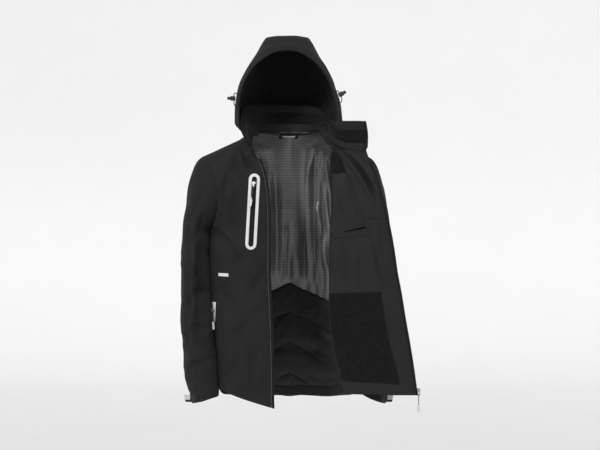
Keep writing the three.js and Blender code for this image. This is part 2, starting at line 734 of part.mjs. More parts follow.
const chevronAt = (column) => {
  const x = onGrid(backGrid, column, crossSeam).p.x;
  return chevron.apexZ - chevron.slope * Math.abs(x);
};
const liningColumns = [...range(liningFirst, topCentre), ...steps(topCentre, liningLast, 18).slice(1)];
const seamShare = 0.002;
const meshRows = steps(0, 1, 10);
const meshTop = 0.06;
const neckHang = 1.4;
const meshPatch = patch(backGrid, liningColumns, meshRows, (column, share) =>
  lerp(meshTop, rowAtHeight(column, chevronAt(column)), share * (1 - seamShare)),
);
const meshDepth = (extra) => (i, j) => {
  const p = meshPatch.points[i][j];
  const share = i / lastOf(meshRows);
  const swell = Math.sin(Math.PI * Math.min(1, share * 1.1) * 0.9);
  const drape = drapes.reduce((sum, { x, deep, wide }) => sum + deep * Math.exp(-(((p.x - x) / wide) ** 2)), 0);
  const hang = lerp(inside + neckHang, linerDrop, Math.min(1, share * 6));
  return hang + extra + drape * swell;
};
wall("Back_Mesh_Lining", meshCloth, meshPatch, meshDepth(0), meshDepth(liningCloth));

const quiltRows = [];
for (const channel of range(0, 2)) {
  for (const share of [0, 0.2, 0.5, 0.8]) {
    quiltRows.push({ down: (channel + share) * chevron.spacing, puff: Math.sin(Math.PI * share) });
  }
}
quiltRows.push({ down: 3 * chevron.spacing, puff: 0 }, { down: 3.45 * chevron.spacing, puff: 0 });
const quiltColumns = [...range(liningFirst, topCentre), ...range(topCentre + 1, liningLast)];
const quiltPuff = 5;
const quiltLength = quiltRows.at(-1).down;
const quiltPatch = patch(backGrid, quiltColumns, range(0, lastOf(quiltRows)), (column, k) => {
  const from = rowAtHeight(column, chevronAt(column)) + 2 * seamShare;
  return lerp(from, hemSeam - seamShare, quiltRows[k].down / quiltLength);
});
wall(
  "Back_Quilted_Lining", quiltCloth, quiltPatch,
  (i) => (i === lastOf(quiltRows) ? inside : linerDrop),
  (i) => (i === lastOf(quiltRows) ? inside : linerDrop) + liningCloth + quiltPuff * quiltRows[i].puff,
);
wall(
  "Back_Hem_Facing", facingCloth,
  patch(backGrid, quiltColumns, [hemSeam + seamShare, hem - seamShare]),
  inside, inside + liningCloth,
);

// The neck label lies on the lining between the lining's own first two rows.
const label = { high: 0.12, low: 0.62, reach: 1 };
const labelCentre = liningColumns.indexOf(topCentre);
const labelColumns = range(labelCentre - label.reach, labelCentre + 2 * label.reach);
const betweenRows = (list, share) => labelColumns.map((j) => list[0][j].clone().lerp(list[1][j], share));
const labelDepth = (extra) => (i, j) => {
  const share = i === 0 ? label.high : label.low;
  const column = labelColumns[j];
  const onLining = lerp(meshDepth(liningCloth)(0, column), meshDepth(liningCloth)(1, column), share);
  return onLining + layerGap + extra;
};
const labelPatch = {
  points: [label.high, label.low].map((share) => betweenRows(meshPatch.points, share)),
  normals: [label.high, label.low].map((share) => betweenRows(meshPatch.normals, share)),
  wraps: false,
};
wall("Neck_Label", darkTrim, labelPatch, labelDepth(0), labelDepth(liningCloth));

// Main zip: a strip along each collar end and front edge

function edgePlaces(grid, column, inner, rows) {
  return rows.map((row) => {
    const p = grid.points[row][column];
    return { p, n: grid.normals[row][column], out: p.clone().sub(grid.points[row][inner]).normalize() };
  });
}

function tapeAlong(name, places) {
  const strip = {
    points: places.map(({ p, out }) =>
      [tape.gap, tape.gap + tape.width].map((reach) => p.clone().addScaledVector(out, reach)),
    ),
    normals: places.map(({ n }) => [n, n]),
    wraps: false,
  };
  wall(name, darkTrim, strip, tape.drop, tape.drop + tape.thick);
}

const collarDown = range(0, topRow).reverse();
const zipRows = range(rowOf["zip top"] + 1, hem);
const rightTape = [
  ...edgePlaces(collarGrid, 0, 1, collarDown),
  ...edgePlaces(rightFrontGrid, frontEdge, frontEdge - 1, zipRows),
];
const leftTape = [
  ...edgePlaces(collarGrid, lastStation, lastStation - 1, collarDown),
  ...edgePlaces(leftFrontGrid, leftColumns, leftColumns - 1, zipRows),
];
tapeAlong("Right_Zip_Tape", rightTape);
tapeAlong("Left_Zip_Tape", leftTape);

// Solids joined from parts

function solidOf(geometry) {
  const bare = geometry.clone();
  bare.deleteAttribute("normal");
  bare.deleteAttribute("uv");
  const merged = mergeVertices(bare, 1e-4);
  return new wasm.Manifold(
    new wasm.Mesh({
      numProp: 3,
      vertProperties: new Float32Array(merged.attributes.position.array),
      triVerts: new Uint32Array(merged.index.array),
    }),
  );
}

function geometryOf(solid) {
  const mesh = solid.getMesh();
  return closedGeometry(Array.from(mesh.vertProperties), Array.from(mesh.triVerts));
}

function joined(...geometries) {
  return geometryOf(geometries.map(solidOf).reduce((sum, next) => sum.add(next)));
}

// A plate in the XZ plane, its thickness along Y about zero
function plate(shape, thick, curveSegments = 2) {
  const geometry = new THREE.ExtrudeGeometry(shape, { depth: thick, bevelEnabled: false, curveSegments });
  return geometry.translate(0, 0, -thick / 2).rotateX(Math.PI / 2);
}

function roundedOutline(outline, left, low, right, high, radius) {
  outline.moveTo(left + radius, low);
  outline.lineTo(right - radius, low);
  outline.absarc(right - radius, low + radius, radius, -Math.PI / 2, 0);
  outline.lineTo(right, high - radius);
  outline.absarc(right - radius, high - radius, radius, 0, Math.PI / 2);
  outline.lineTo(left + radius, high);
  outline.absarc(left + radius, high - radius, radius, Math.PI / 2, Math.PI);
  outline.lineTo(left, low + radius);
  outline.absarc(left + radius, low + radius, radius, Math.PI, Math.PI * 1.5);
  outline.closePath();
  return outline;
}

function sliderGeometry() {
  const halfWide = slider.width / 2;
  const halfLong = slider.length / 2;
  const body = new THREE.Shape();
  const shoulder = slider.length * slider.shoulder;
  body.moveTo(-halfWide * slider.nose, -halfLong);
  body.lineTo(halfWide * slider.nose, -halfLong);
  body.lineTo(halfWide, shoulder);
  body.lineTo(halfWide * slider.tail, halfLong);
  body.lineTo(-halfWide * slider.tail, halfLong);
  body.lineTo(-halfWide, shoulder);
  body.closePath();
  const arch = new THREE.Shape();
  arch.moveTo(-bridge.halfFoot, bridge.low);
  arch.lineTo(bridge.halfFoot, bridge.low);
  arch.lineTo(bridge.halfTop, bridge.high);
  arch.lineTo(-bridge.halfTop, bridge.high);
  arch.closePath();
  const eyeHigh = bridge.eyeLow + 2.05;
  arch.holes.push(
    roundedOutline(new THREE.Path(), -bridge.halfEye, bridge.eyeLow, bridge.halfEye, eyeHigh, 0.5),
  );
  const loop = new THREE.ExtrudeGeometry(arch, { depth: bridge.width, bevelEnabled: false, curveSegments: 1 });
  loop.translate(0, 0, -bridge.width / 2).rotateY(-Math.PI / 2);
  return joined(plate(body, slider.thick), loop);
}

// A pull: a wire frame through the slider's bridge, a cord and a moulded grip, hung from its pivot
const pullSize = { halfFrame: 3.9, halfEye: 2.6, wire: 1.2, foot: 2.4, aboveEye: 0.6, aboveFrame: 0.7 };
const gripSize = { half: 3.6, round: 2.2, thick: 3, cordRadius: 1.1, sunk: 1 };

function pullGeometry({ frame, cord, grip }) {
  const { halfFrame, halfEye, wire, foot, aboveEye, aboveFrame } = pullSize;
  const loop = roundedOutline(new THREE.Shape(), -halfFrame, -frame, halfFrame, aboveFrame, aboveFrame);
  loop.holes.push(roundedOutline(new THREE.Path(), -halfEye, foot - frame, halfEye, -aboveEye, 0.3));
  const { half, round, thick, cordRadius, sunk } = gripSize;
  const cordRod = new THREE.CylinderGeometry(cordRadius, cordRadius, cord + 2 * sunk, 6).rotateX(Math.PI / 2);
  cordRod.translate(0, 0, -frame - cord / 2);
  const hold = roundedOutline(new THREE.Shape(), -half, -frame - cord - grip, half, -frame - cord, round);
  return joined(plate(loop, wire, 1), cordRod, plate(hold, thick));
}

// Sets a slider and its pull on a place of a zip; lean turns the pull in the plane of the zip.
function addSlider(name, place, up, out, pull, lean = 0) {
  const beside = out.clone().cross(up).normalize();
  const body = addMesh(name + "_Slider", steel, sliderGeometry());
  body.position.copy(place);
  body.quaternion.setFromRotationMatrix(new THREE.Matrix4().makeBasis(beside, out, up));
  const hang = point(0, 0, 1).addScaledVector(out, -out.z).normalize().applyAxisAngle(out, toRadians(lean));
  const side = out.clone().cross(hang).normalize();
  const tab = addMesh(name + "_Pull", lightTrim, pullGeometry(pull));
  tab.position.copy(place).addScaledVector(out, pivotOut);
  tab.quaternion.setFromRotationMatrix(new THREE.Matrix4().makeBasis(side, out, hang));
}

const mainSliderShare = 0.45;
const lastPlace = leftTape[lastOf(leftTape)];
const hemPlace = leftTape[lastOf(leftTape) - 1];
const mainUp = hemPlace.p.clone().sub(lastPlace.p).normalize();
const mainOut = lastPlace.n.clone().addScaledVector(mainUp, -lastPlace.n.dot(mainUp)).normalize();
const mainPlace = lastPlace.p
  .clone()
  .lerp(hemPlace.p, mainSliderShare)
  .addScaledVector(lastPlace.out, tape.gap + tape.width + slider.width / 2 + 0.4)
  .addScaledVector(mainOut, -tape.drop - tape.thick / 2);
addSlider("Main", mainPlace, mainUp, mainOut, { frame: 14, cord: 30, grip: 15 });

// Chest pocket: an upright oval band with a zip in its slot, on the right front

function mixOf(points, shares) {
  return points.reduce((sum, p, k) => sum.addScaledVector(p, shares[k]), point(0, 0, 0));
}

// The place on a panel that lies behind a point of the front view
function onFrontView(grid, x, z) {
  for (let i = 0; i + 1 < grid.points.length; i += 1) {
    for (let j = 0; j + 1 < grid.points[0].length; j += 1) {
      for (const upper of [true, false]) {
        const near = upper ? [[i, j], [i + 1, j]] : [[i, j], [i, j + 1]];
        const corners = [...near, [i + 1, j + 1]];
        const [a, b, c] = corners.map(([row, column]) => grid.points[row][column]);
        const area = (b.x - a.x) * (c.z - a.z) - (c.x - a.x) * (b.z - a.z);
        const shareB = ((x - a.x) * (c.z - a.z) - (c.x - a.x) * (z - a.z)) / area;
        const shareC = ((b.x - a.x) * (z - a.z) - (x - a.x) * (b.z - a.z)) / area;
        if (shareB >= 0 && shareC >= 0 && shareB + shareC <= 1) {
          const shares = [1 - shareB - shareC, shareB, shareC];
          const mix = (list) => mixOf(corners.map(([row, column]) => list[row][column]), shares);
          return { p: mix(grid.points), n: mix(grid.normals).normalize() };
        }
      }
    }
  }
  throw new Error("no panel behind " + x + " " + z);
}

const pocketLow = chestPocket.topZ - chestPocket.length;
const pocketAxis = point(chestPocket.lowX - chestPocket.topX, 0, pocketLow - chestPocket.topZ).normalize();
const pocketSide = point(-pocketAxis.z, 0, pocketAxis.x);
const pocketMiddle = point((chestPocket.topX + chestPocket.lowX) / 2, 0, (chestPocket.topZ + pocketLow) / 2);

function pocketPlace(aside, along) {
  const q = pocketMiddle.clone().addScaledVector(pocketSide, aside).addScaledVector(pocketAxis, along);
  return onFrontView(rightFrontGrid, q.x, q.z);
}

// An oval line of the given half width round the pocket
function ovalPlaces(halfWide) {
  const straight = chestPocket.length / 2 - chestPocket.width / 2;
  const places = [];
  for (const end of [1, -1]) {
    for (const k of range(0, 6)) {
      const a = toRadians(180 - k * 30);
      places.push([end * halfWide * Math.cos(a), end * (straight + halfWide * Math.sin(a))]);
    }
    for (const share of steps(0, 1, 8).slice(1, -1)) {
      places.push([end * halfWide, end * straight * (1 - 2 * share)]);
    }
  }
  return places.map(([aside, along]) => pocketPlace(aside, along));
}

function gridOf(rows, wraps) {
  const points = rows.map((row) => row.map(({ p }) => p));
  const normals = rows.map((row) => row.map(({ n }) => n));
  return { points, normals, wraps };
}

const trimLift = 0.95;
const trimThick = 1.4;
const coilThick = 0.9;
const slotHalf = chestPocket.width / 2 - chestPocket.band;
wall(
  "Chest_Pocket_Frame", reflective,
  gridOf([ovalPlaces(slotHalf), ovalPlaces(chestPocket.width / 2)], true),
  -trimLift - trimThick, -trimLift,
);
const zipHalf = slotHalf - 0.4;
const chestZipHalf = chestPocket.length / 2 - chestPocket.width / 2;
const chestZipRows = steps(-chestZipHalf, chestZipHalf, 9);
wall(
  "Chest_Zip", darkTrim,
  gridOf(chestZipRows.map((along) => [-zipHalf, 0, zipHalf].map((aside) => pocketPlace(aside, along))), false),
  -trimLift - coilThick, -trimLift,
);
const chestSliderAlong = -chestZipHalf + 14;
const chestPlace = pocketPlace(0, chestSliderAlong);
const aboveSlider = pocketPlace(0, chestSliderAlong - slider.length).p;
const chestUp = aboveSlider.sub(pocketPlace(0, chestSliderAlong + slider.length).p).normalize();
const chestOut = chestPlace.n.clone().addScaledVector(chestUp, -chestPlace.n.dot(chestUp)).normalize();
const onTrim = trimLift + coilThick + seamGap + slider.thick / 2;
addSlider(
  "Chest", chestPlace.p.clone().addScaledVector(chestOut, onTrim), chestUp, chestOut,
  { frame: 12, cord: 30, grip: 20 }, -7,
);

// Hand pockets: a zip down each side front panel, with a slider near its top

const handZip = { column: 2.2, half: 0.17, top: 10.15, low: 12.85, slider: 10.62, step: 0.3 };
for (const [side, grid, columnShift] of [["Right", rightFrontGrid, 0], ["Left", leftFrontGrid, 0.1]]) {
  const column = handZip.column + columnShift;
  const rows = [handZip.top, 10.5, 11, 11.5, 12, 12.5, handZip.low];
  const zip = patch(grid, [column - handZip.half, column, column + handZip.half], rows);
  wall(side + "_Hand_Zip", darkTrim, zip, -trimLift - coilThick, -trimLift);
  const place = onGrid(grid, column, handZip.slider);
  const above = onGrid(grid, column, handZip.slider - handZip.step).p;
  const up = above.sub(onGrid(grid, column, handZip.slider + handZip.step).p).normalize();
  const out = place.n.clone().addScaledVector(up, -place.n.dot(up)).normalize();
  addSlider(
    side + "_Hand", place.p.clone().addScaledVector(out, onTrim), up, out,
    { frame: 12, cord: 21, grip: 20 },
  );
}

// Cuff tabs on the outer front of each cuff; the free end stands out past the sleeve's outer edge.

const cuffTab = { columns: [1, 2, 2.7], high: 0.2, low: 0.85, reach: 17, back: 4, lift: 0.5, thick: 1.3 };
for (const [side, sleeve, outward] of [["Right", rightSleeve, -1], ["Left", leftSleeve, 1]]) {
  const tab = patch(sleeve, cuffTab.columns, [cuffSeam + cuffTab.high, cuffSeam + cuffTab.low]);
  const facing = point(outward * cuffTab.back, -cuffTab.reach, 0).normalize();
  tab.points.forEach((row, i) => {
    row.unshift(row[0].clone().add(point(outward * cuffTab.reach, cuffTab.back, 0)));
    tab.normals[i][0].add(facing).normalize();
    tab.normals[i].unshift(facing);
  });
  wall(side + "_Cuff_Tab", softshell, tab, -cuffTab.lift - cuffTab.thick, -cuffTab.lift);
}

// Hood cords with their locks, one on each side of the face opening

const lock = { radius: 6.5, bore: 4.4, long: 14, bevel: 1.2, floor: 1.8, cordHole: 1.75, cordAt: 4 };
const plunger = { stem: 4, knob: 4.5, travel: 3.4, rise: 7, bevel: 1.4, crown: 1 };

function barrelGeometry() {
  const { radius, bore: inner, long, bevel, floor } = lock;
  const outline = [
    [0, 0], [radius - bevel, 0], [radius, bevel], [radius, long - bevel],
    [radius - bevel, long], [inner, long], [inner, floor], [0, floor],
  ].map(([r, h]) => new THREE.Vector2(r, h));
  const cup = new THREE.LatheGeometry(outline, 12);
  const bore = new THREE.CylinderGeometry(lock.cordHole, lock.cordHole, 4 * radius, 8).rotateX(Math.PI / 2);
  bore.translate(0, lock.cordAt, 0);
  return geometryOf(solidOf(cup).subtract(solidOf(bore)));
}

function plungerGeometry() {
  const { stem, knob, travel, rise, bevel, crown } = plunger;
  const foot = lock.cordAt + lock.cordHole + travel;
  const head = lock.long + travel;
  const top = lock.long + rise;
  const outline = [
    [0, foot], [stem, foot], [stem, head], [knob, head],
    [knob, top], [knob - bevel, top + crown], [0, top + crown],
  ].map(([r, h]) => new THREE.Vector2(r, h));
  return new THREE.LatheGeometry(outline, 12);
}

// Each cord leaves the tunnel, runs through its lock and goes back into the tunnel.
const cordRoutes = {
  Right: {
    lock: [-146.5, -66, 104],
    axis: [-1, 0, 0],
    through: [0, 0, 1],
    points: [
      [-141.8, -51, 83.1], [-145.5, -55.5, 82.5], [-149, -61.5, 85.5], [-150.5, -65.6, 92], [-150.5, -66, 98],
      [-150.5, -66, 104], [-150.5, -66, 110], [-150, -65, 116], [-147, -61.5, 119.5], [-143, -57.5, 117],
      [-139.0, -54.5, 112],
    ],
  },
  Left: {
    lock: [137.5, -66, 112],
    axis: [0.88, 0, 0.475],
    through: [-0.475, 0, 0.88],
    points: [
      [127.6, -53, 119], [131, -56, 123], [135.4, -62, 125], [138.2, -66, 119.1], [141, -66, 113.9],
      [143.8, -66, 108.7], [146, -66, 102], [144.5, -62.5, 95], [140, -56, 90.5], [134.2, -49, 89.5],
    ],
  },
};

function cordGeometry(points) {
  const path = new THREE.CatmullRomCurve3(points.map((p) => point(...p)));
  const section = new THREE.Shape();
  section.absarc(0, 0, cordWidth / 2, 0, 2 * Math.PI);
  return new THREE.ExtrudeGeometry(section, { steps: 12, curveSegments: 4, extrudePath: path });
}

for (const [side, route] of Object.entries(cordRoutes)) {
  const axis = point(...route.axis).normalize();
  const along = point(...route.through).normalize();
  const turn = new THREE.Matrix4().makeBasis(along.clone().cross(axis).negate(), axis, along.clone());
  for (const [piece, material, geometry] of [
    ["Barrel", darkTrim, barrelGeometry()],
    ["Plunger", darkTrim, plungerGeometry()],
  ]) {
    const mesh = addMesh(side + "_Cord_Lock_" + piece, material, geometry);
    mesh.position.set(...route.lock);
    mesh.quaternion.setFromRotationMatrix(turn);
  }
  addMesh(side + "_Hood_Cord", darkTrim, cordGeometry(route.points));
}

export default jacket;
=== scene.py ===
# %% [markdown]
# # Hooded softshell jacket
# The jacket keeps the hollow shape of a wearer: right front nearly shut, left front rolled open so that
# fleece, facing, silver mesh and quilting show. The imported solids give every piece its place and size.
# Each cloth solid is replaced by a thin, finely curved sheet with creases, seams and a woven surface.

import json
import math

import bmesh
import bpy
import numpy as np
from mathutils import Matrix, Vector
from mathutils.bvhtree import BVHTree
from mathutils.kdtree import KDTree

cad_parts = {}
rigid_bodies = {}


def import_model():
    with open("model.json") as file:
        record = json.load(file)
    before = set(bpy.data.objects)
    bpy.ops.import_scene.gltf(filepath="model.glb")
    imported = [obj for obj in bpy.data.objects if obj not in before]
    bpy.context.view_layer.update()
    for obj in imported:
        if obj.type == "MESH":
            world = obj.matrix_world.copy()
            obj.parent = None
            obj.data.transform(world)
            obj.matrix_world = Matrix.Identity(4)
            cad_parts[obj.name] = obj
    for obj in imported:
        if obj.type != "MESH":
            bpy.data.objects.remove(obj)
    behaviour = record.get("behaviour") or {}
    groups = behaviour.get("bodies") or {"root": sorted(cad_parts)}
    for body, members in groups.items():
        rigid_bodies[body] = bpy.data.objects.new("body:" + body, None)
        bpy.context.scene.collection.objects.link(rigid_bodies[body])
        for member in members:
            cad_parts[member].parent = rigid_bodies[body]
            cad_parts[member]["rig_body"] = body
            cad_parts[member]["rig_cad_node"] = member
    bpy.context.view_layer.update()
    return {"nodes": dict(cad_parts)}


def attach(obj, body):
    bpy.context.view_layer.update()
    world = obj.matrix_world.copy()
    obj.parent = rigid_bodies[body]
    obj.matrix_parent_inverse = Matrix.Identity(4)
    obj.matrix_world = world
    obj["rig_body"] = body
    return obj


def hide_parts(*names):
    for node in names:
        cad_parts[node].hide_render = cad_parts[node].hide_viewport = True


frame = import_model()
nodes = frame["nodes"]
MM = 0.001
print("loaded", len(nodes), "solids")

# %% [markdown]
# The photograph looks level at the jacket from about three and a half metres, so a long lens is used.
# The backdrop is a floor that sweeps up into a wall, so that no horizon shows behind dark cloth.
# The wall goes all the way round, because the jacket is also looked at from the sides and from behind.

# %% Camera, sweep and light
eye = Vector((0.031, -3.5, -0.244))
lens_mm = 75
bpy.ops.object.camera_add(location=eye, rotation=(math.pi / 2, 0, 0))
camera = bpy.context.active_object
camera.data.lens = lens_mm
scene = bpy.context.scene
scene.camera = camera
scene.view_settings.view_transform = "Standard"

floor_z = -1.35
floor_radius = 5.0
sweep_radius = 1.8
sweep_height = 3.8
squareness = 6
sweep_columns = 96
sweep_rows = 32
sky_strength = 0.58


def make_sweep():
    """A floor whose rim curves up into a low wall, with four flat sides and round corners."""
    bpy.ops.mesh.primitive_grid_add(x_subdivisions=sweep_columns, y_subdivisions=sweep_rows, size=2)
    sweep = bpy.context.active_object
    sweep.name = "Backdrop"
    arc = sweep_radius * math.pi / 2
    whole = floor_radius + arc + sweep_height - sweep_radius
    for vertex in sweep.data.vertices:
        around = vertex.co.x * math.pi
        along = (vertex.co.y + 1) / 2 * whole
        turn = min(max(along - floor_radius, 0) / sweep_radius, math.pi / 2)
        radius = min(along, floor_radius) + sweep_radius * math.sin(turn)
        height = sweep_radius * (1 - math.cos(turn)) + max(along - floor_radius - arc, 0)
        x, y = math.cos(around), math.sin(around)
        corner = (abs(x) ** squareness + abs(y) ** squareness) ** (1 / squareness)
        vertex.co = (radius * x / corner, radius * y / corner, floor_z + height)
    bpy.ops.object.mode_set(mode="EDIT")
    bpy.ops.mesh.remove_doubles(threshold=0.0005)
    bpy.ops.mesh.normals_make_consistent(inside=True)
    bpy.ops.object.mode_set(mode="OBJECT")
    bpy.ops.object.shade_smooth()
    return sweep


backdrop = make_sweep()

world = bpy.data.worlds.new("Studio")
scene.world = world
world.use_nodes = True
world.node_tree.nodes["Background"].inputs["Color"].default_value = (1, 1, 1, 1)
world.node_tree.nodes["Background"].inputs["Strength"].default_value = sky_strength


def add_sun(name, toward, strength, spread):
    bpy.ops.object.light_add(type="SUN", location=(0, -2, 3))
    sun = bpy.context.active_object
    sun.name = name
    sun.rotation_euler = Vector(toward).to_track_quat("-Z", "Y").to_euler()
    sun.data.energy = strength
    sun.data.angle = math.radians(spread)
    return sun


key_light = add_sun("Key_Light", (0.72, 1.0, -0.8), 1.4, 14)
fill_light = add_sun("Fill_Light", (-0.9, 1.0, -0.5), 0.3, 30)
print("camera, sweep,", key_light.name, "and", fill_light.name, "are set")

# %% [markdown]
# ## Hood cords
# A round elastic cord leaves the tunnel of the hood, runs through its lock and goes back into the tunnel.
# A curve with a round bevel keeps the true thickness along any bend. The thickness is set on each knot,
# because a curve's bounding box grows by the radius of its knots.

# %% Hood cords
cord_diameter = 0.0025
cord_routes = {
    "Right": [
        (-141.8, -51, 83.1), (-145.5, -55.5, 82.5), (-149, -61.5, 85.5), (-150.5, -65.6, 92),
        (-150.5, -66, 98), (-150.5, -66, 104), (-150.5, -66, 110), (-150, -65, 116),
        (-147, -61.5, 119.5), (-143, -57.5, 117), (-139.0, -54.5, 112),
    ],
    "Left": [
        (127.6, -53, 119), (131, -56, 123), (135.4, -62, 125), (138.2, -66, 119.1), (141, -66, 113.9),
        (143.8, -66, 108.7), (146, -66, 102), (144.5, -62.5, 95), (140, -56, 90.5), (134.2, -49, 89.5),
    ],
}


def add_cord(side, points):
    curve = bpy.data.curves.new(side + "_Elastic_Cord", "CURVE")
    curve.dimensions = "3D"
    curve.bevel_depth = 1
    curve.bevel_resolution = 3
    curve.resolution_u = 8
    curve.use_fill_caps = True
    spline = curve.splines.new("BEZIER")
    spline.bezier_points.add(len(points) - 1)
    for knot, place in zip(spline.bezier_points, points):
        knot.co = Vector(place) * MM
        knot.handle_left_type = knot.handle_right_type = "AUTO"
        knot.radius = cord_diameter / 2
    piece = bpy.data.objects.new(side + "_Elastic_Cord", curve)
    scene.collection.objects.link(piece)
    bpy.context.view_layer.update()
    return piece, spline.calc_length()


cords = {}
for side, points in cord_routes.items():
    cord, cord_length = add_cord(side, points)
    cords[side] = cord
    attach(cord, "jacket")
    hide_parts(side + "_Hood_Cord")
    print(side, "cord", round(cord_length, 4), "m")

# %% [markdown]
# ## From solid to sheet
# A cloth solid is a closed wall with two faces and a narrow rim. The sheet could be drawn anew, but then it
# would drift from its solid, so one face of a copy is kept as an open sheet, and its triangles are paired
# into four-sided faces, which subdivide without pinches.


# %% Helpers that pick one face of a wall
same_place = 0.00002
pairing_angle = 75


def only(*objects):
    bpy.ops.object.select_all(action="DESELECT")
    for item in objects:
        item.select_set(True)
    bpy.context.view_layer.objects.active = objects[0]


def copy_of(node, name):
    only(nodes[node])
    bpy.ops.object.duplicate()
    piece = bpy.context.active_object
    piece.name = name
    piece.data.name = name
    piece.parent = None
    piece.hide_render = False
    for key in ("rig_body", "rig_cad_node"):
        del piece[key]
    piece.data.materials.clear()
    bpy.ops.object.mode_set(mode="EDIT")
    bpy.ops.mesh.select_all(action="SELECT")
    bpy.ops.mesh.remove_doubles(threshold=same_place)
    bpy.ops.object.mode_set(mode="OBJECT")
    return piece


def pair_triangles(piece):
    only(piece)
    bpy.ops.object.mode_set(mode="EDIT")
    bpy.ops.mesh.select_all(action="SELECT")
    bpy.ops.mesh.tris_convert_to_quads(face_threshold=math.radians(pairing_angle), shape_threshold=math.pi)
    bpy.ops.object.mode_set(mode="OBJECT")
    threes = sum(len(face.vertices) == 3 for face in piece.data.polygons)
    print(piece.name, "faces", len(piece.data.polygons), "of three sides", threes)


facing_away = -0.6
deepest_wall = 0.012
length_slack = 0.000004


def face_groups(bm, wall):
    """Faces of a wall without its rim, as groups that hang together. A face belongs to a wall's side
    where the first face behind it looks the other way, and none of its edges is as long as the wall is
    thick, as each face of the rim has one. The two largest groups are the wall's sides."""
    tree = BVHTree.FromBMesh(bm)
    kept = set()
    for face in bm.faces:
        centre = face.calc_center_median()
        place, normal, _, depth = tree.ray_cast(centre - face.normal * same_place, -face.normal)
        on_rim = any(abs(edge.calc_length() - wall) < length_slack for edge in face.edges)
        if place is None or depth >= deepest_wall or on_rim:
            continue
        if normal.dot(face.normal) < facing_away:
            kept.add(face)
    groups = []
    while kept:
        stack = [kept.pop()]
        group = set(stack)
        while stack:
            for edge in stack.pop().edges:
                for other in edge.link_faces:
                    if other in kept:
                        kept.remove(other)
                        group.add(other)
                        stack.append(other)
        groups.append(group)
    groups.sort(key=len, reverse=True)
    return groups[:2]


def keep_face(piece, wall, inside, side):
    """Keeps the face of the wall that looks away from the line or point inside the jacket, or towards it."""
    bm = bmesh.new()
    bm.from_mesh(piece.data)
    groups = face_groups(bm, wall)

    def outward(group):
        total = 0
        for face in group:
            centre = face.calc_center_median()
            total += face.calc_area() * face.normal.dot(centre - inside(centre))
        return total

    groups.sort(key=outward, reverse=True)
    chosen = groups[0] if side == "outer" else groups[1]
    bmesh.ops.delete(bm, geom=[face for face in bm.faces if face not in chosen], context="FACES")
    bm.to_mesh(piece.data)
    bm.free()
    print(piece.name, "sides", [len(group) for group in groups], "kept", len(chosen))


print("walls are told by faces less than", deepest_wall / MM, "mm apart")

# %% [markdown]
# Subdivision pulls a surface inside its corners, so the corners are pushed out again a few times until the
# smooth sheet passes through them. The open border of the sheet is read as well: zip teeth follow it, and
# each point's distance from it tells where the seams lie.


# %% Helpers that smooth a sheet through its corners
def points_of(mesh):
    flat = np.zeros(len(mesh.vertices) * 3)
    mesh.vertices.foreach_get("co", flat)
    return flat.reshape(-1, 3)


def set_points(mesh, points):
    mesh.vertices.foreach_set("co", points.ravel())
    mesh.update()


def normals_of(mesh):
    flat = np.zeros(len(mesh.vertices) * 3)
    mesh.vertices.foreach_get("normal", flat)
    return flat.reshape(-1, 3)


def smooth_through(piece, levels, rounds=5):
    goal = points_of(piece.data)
    control = goal.copy()
    modifier = piece.modifiers.new("Curve", "SUBSURF")
    modifier.levels = modifier.render_levels = levels
    modifier.boundary_smooth = "PRESERVE_CORNERS"
    for _ in range(rounds):
        bpy.context.view_layer.update()
        shown = piece.evaluated_get(bpy.context.evaluated_depsgraph_get())
        reached = points_of(shown.data)[: len(goal)]
        control += goal - reached
        set_points(piece.data, control)
    only(piece)
    bpy.ops.object.modifier_apply(modifier=modifier.name)


def border_of(mesh):
    """The open border of a sheet, as one closed row of points."""
    bm = bmesh.new()
    bm.from_mesh(mesh)
    start = next(vertex for vertex in bm.verts if vertex.is_boundary)
    row = [start]
    while True:
        ahead = [
            edge.other_vert(row[-1]) for edge in row[-1].link_edges
            if edge.is_boundary and (len(row) < 2 or edge.other_vert(row[-1]) is not row[-2])
        ]
        if ahead[0] is start:
            break
        row.append(ahead[0])
    points = np.array([tuple(vertex.co) for vertex in row])
    bm.free()
    return points


def seam_distance(mesh):
    """Each point's distance from the sheet's open border, in metres."""
    bm = bmesh.new()
    bm.from_mesh(mesh)
    border = [edge for edge in bm.edges if edge.is_boundary]
    tree = KDTree(len(border) * 3)
    count = 0
    for edge in border:
        a, b = edge.verts
        for share in (0, 1 / 3, 2 / 3):
            tree.insert(a.co.lerp(b.co, share), count)
            count += 1
    tree.balance()
    found = np.array([tree.find(vertex.co)[2] for vertex in bm.verts])
    bm.free()
    return found


print("sheet helpers are ready")

# %% [markdown]
# ## Creases
# Worn cloth lies in long soft troughs with ridges beside them. Each one is a line on the front view with a
# depth, a width and a bow, listed one by one and never twice the same. Simulated cloth would fall away from
# the pose of the photograph. A slow swell between the seams keeps the panels from looking cast, and it fades
# out at zips and pockets, which hold the cloth flat.


# %% Crease helpers
def trough(x, z, fold):
    x0, z0, x1, z1, deep, wide, bow = fold
    along = np.array([x1 - x0, z1 - z0])
    length = math.hypot(*along)
    away_x = x - x0
    away_z = z - z0
    t = (away_x * along[0] + away_z * along[1]) / length**2
    beside = (away_x * along[1] - away_z * along[0]) / length
    beside = beside - bow * (1 - (2 * t - 1) ** 2)
    fade = np.exp(-((2 * t - 1) ** 4))
    valley = np.exp(-((beside / wide) ** 2))
    ridge = np.exp(-(((beside - 1.9 * wide) / (1.2 * wide)) ** 2))
    return deep * fade * (valley - 0.45 * ridge)


def troughs(x, z, folds):
    total = np.zeros_like(x)
    for fold in folds:
        total += trough(x, z, fold)
    return total


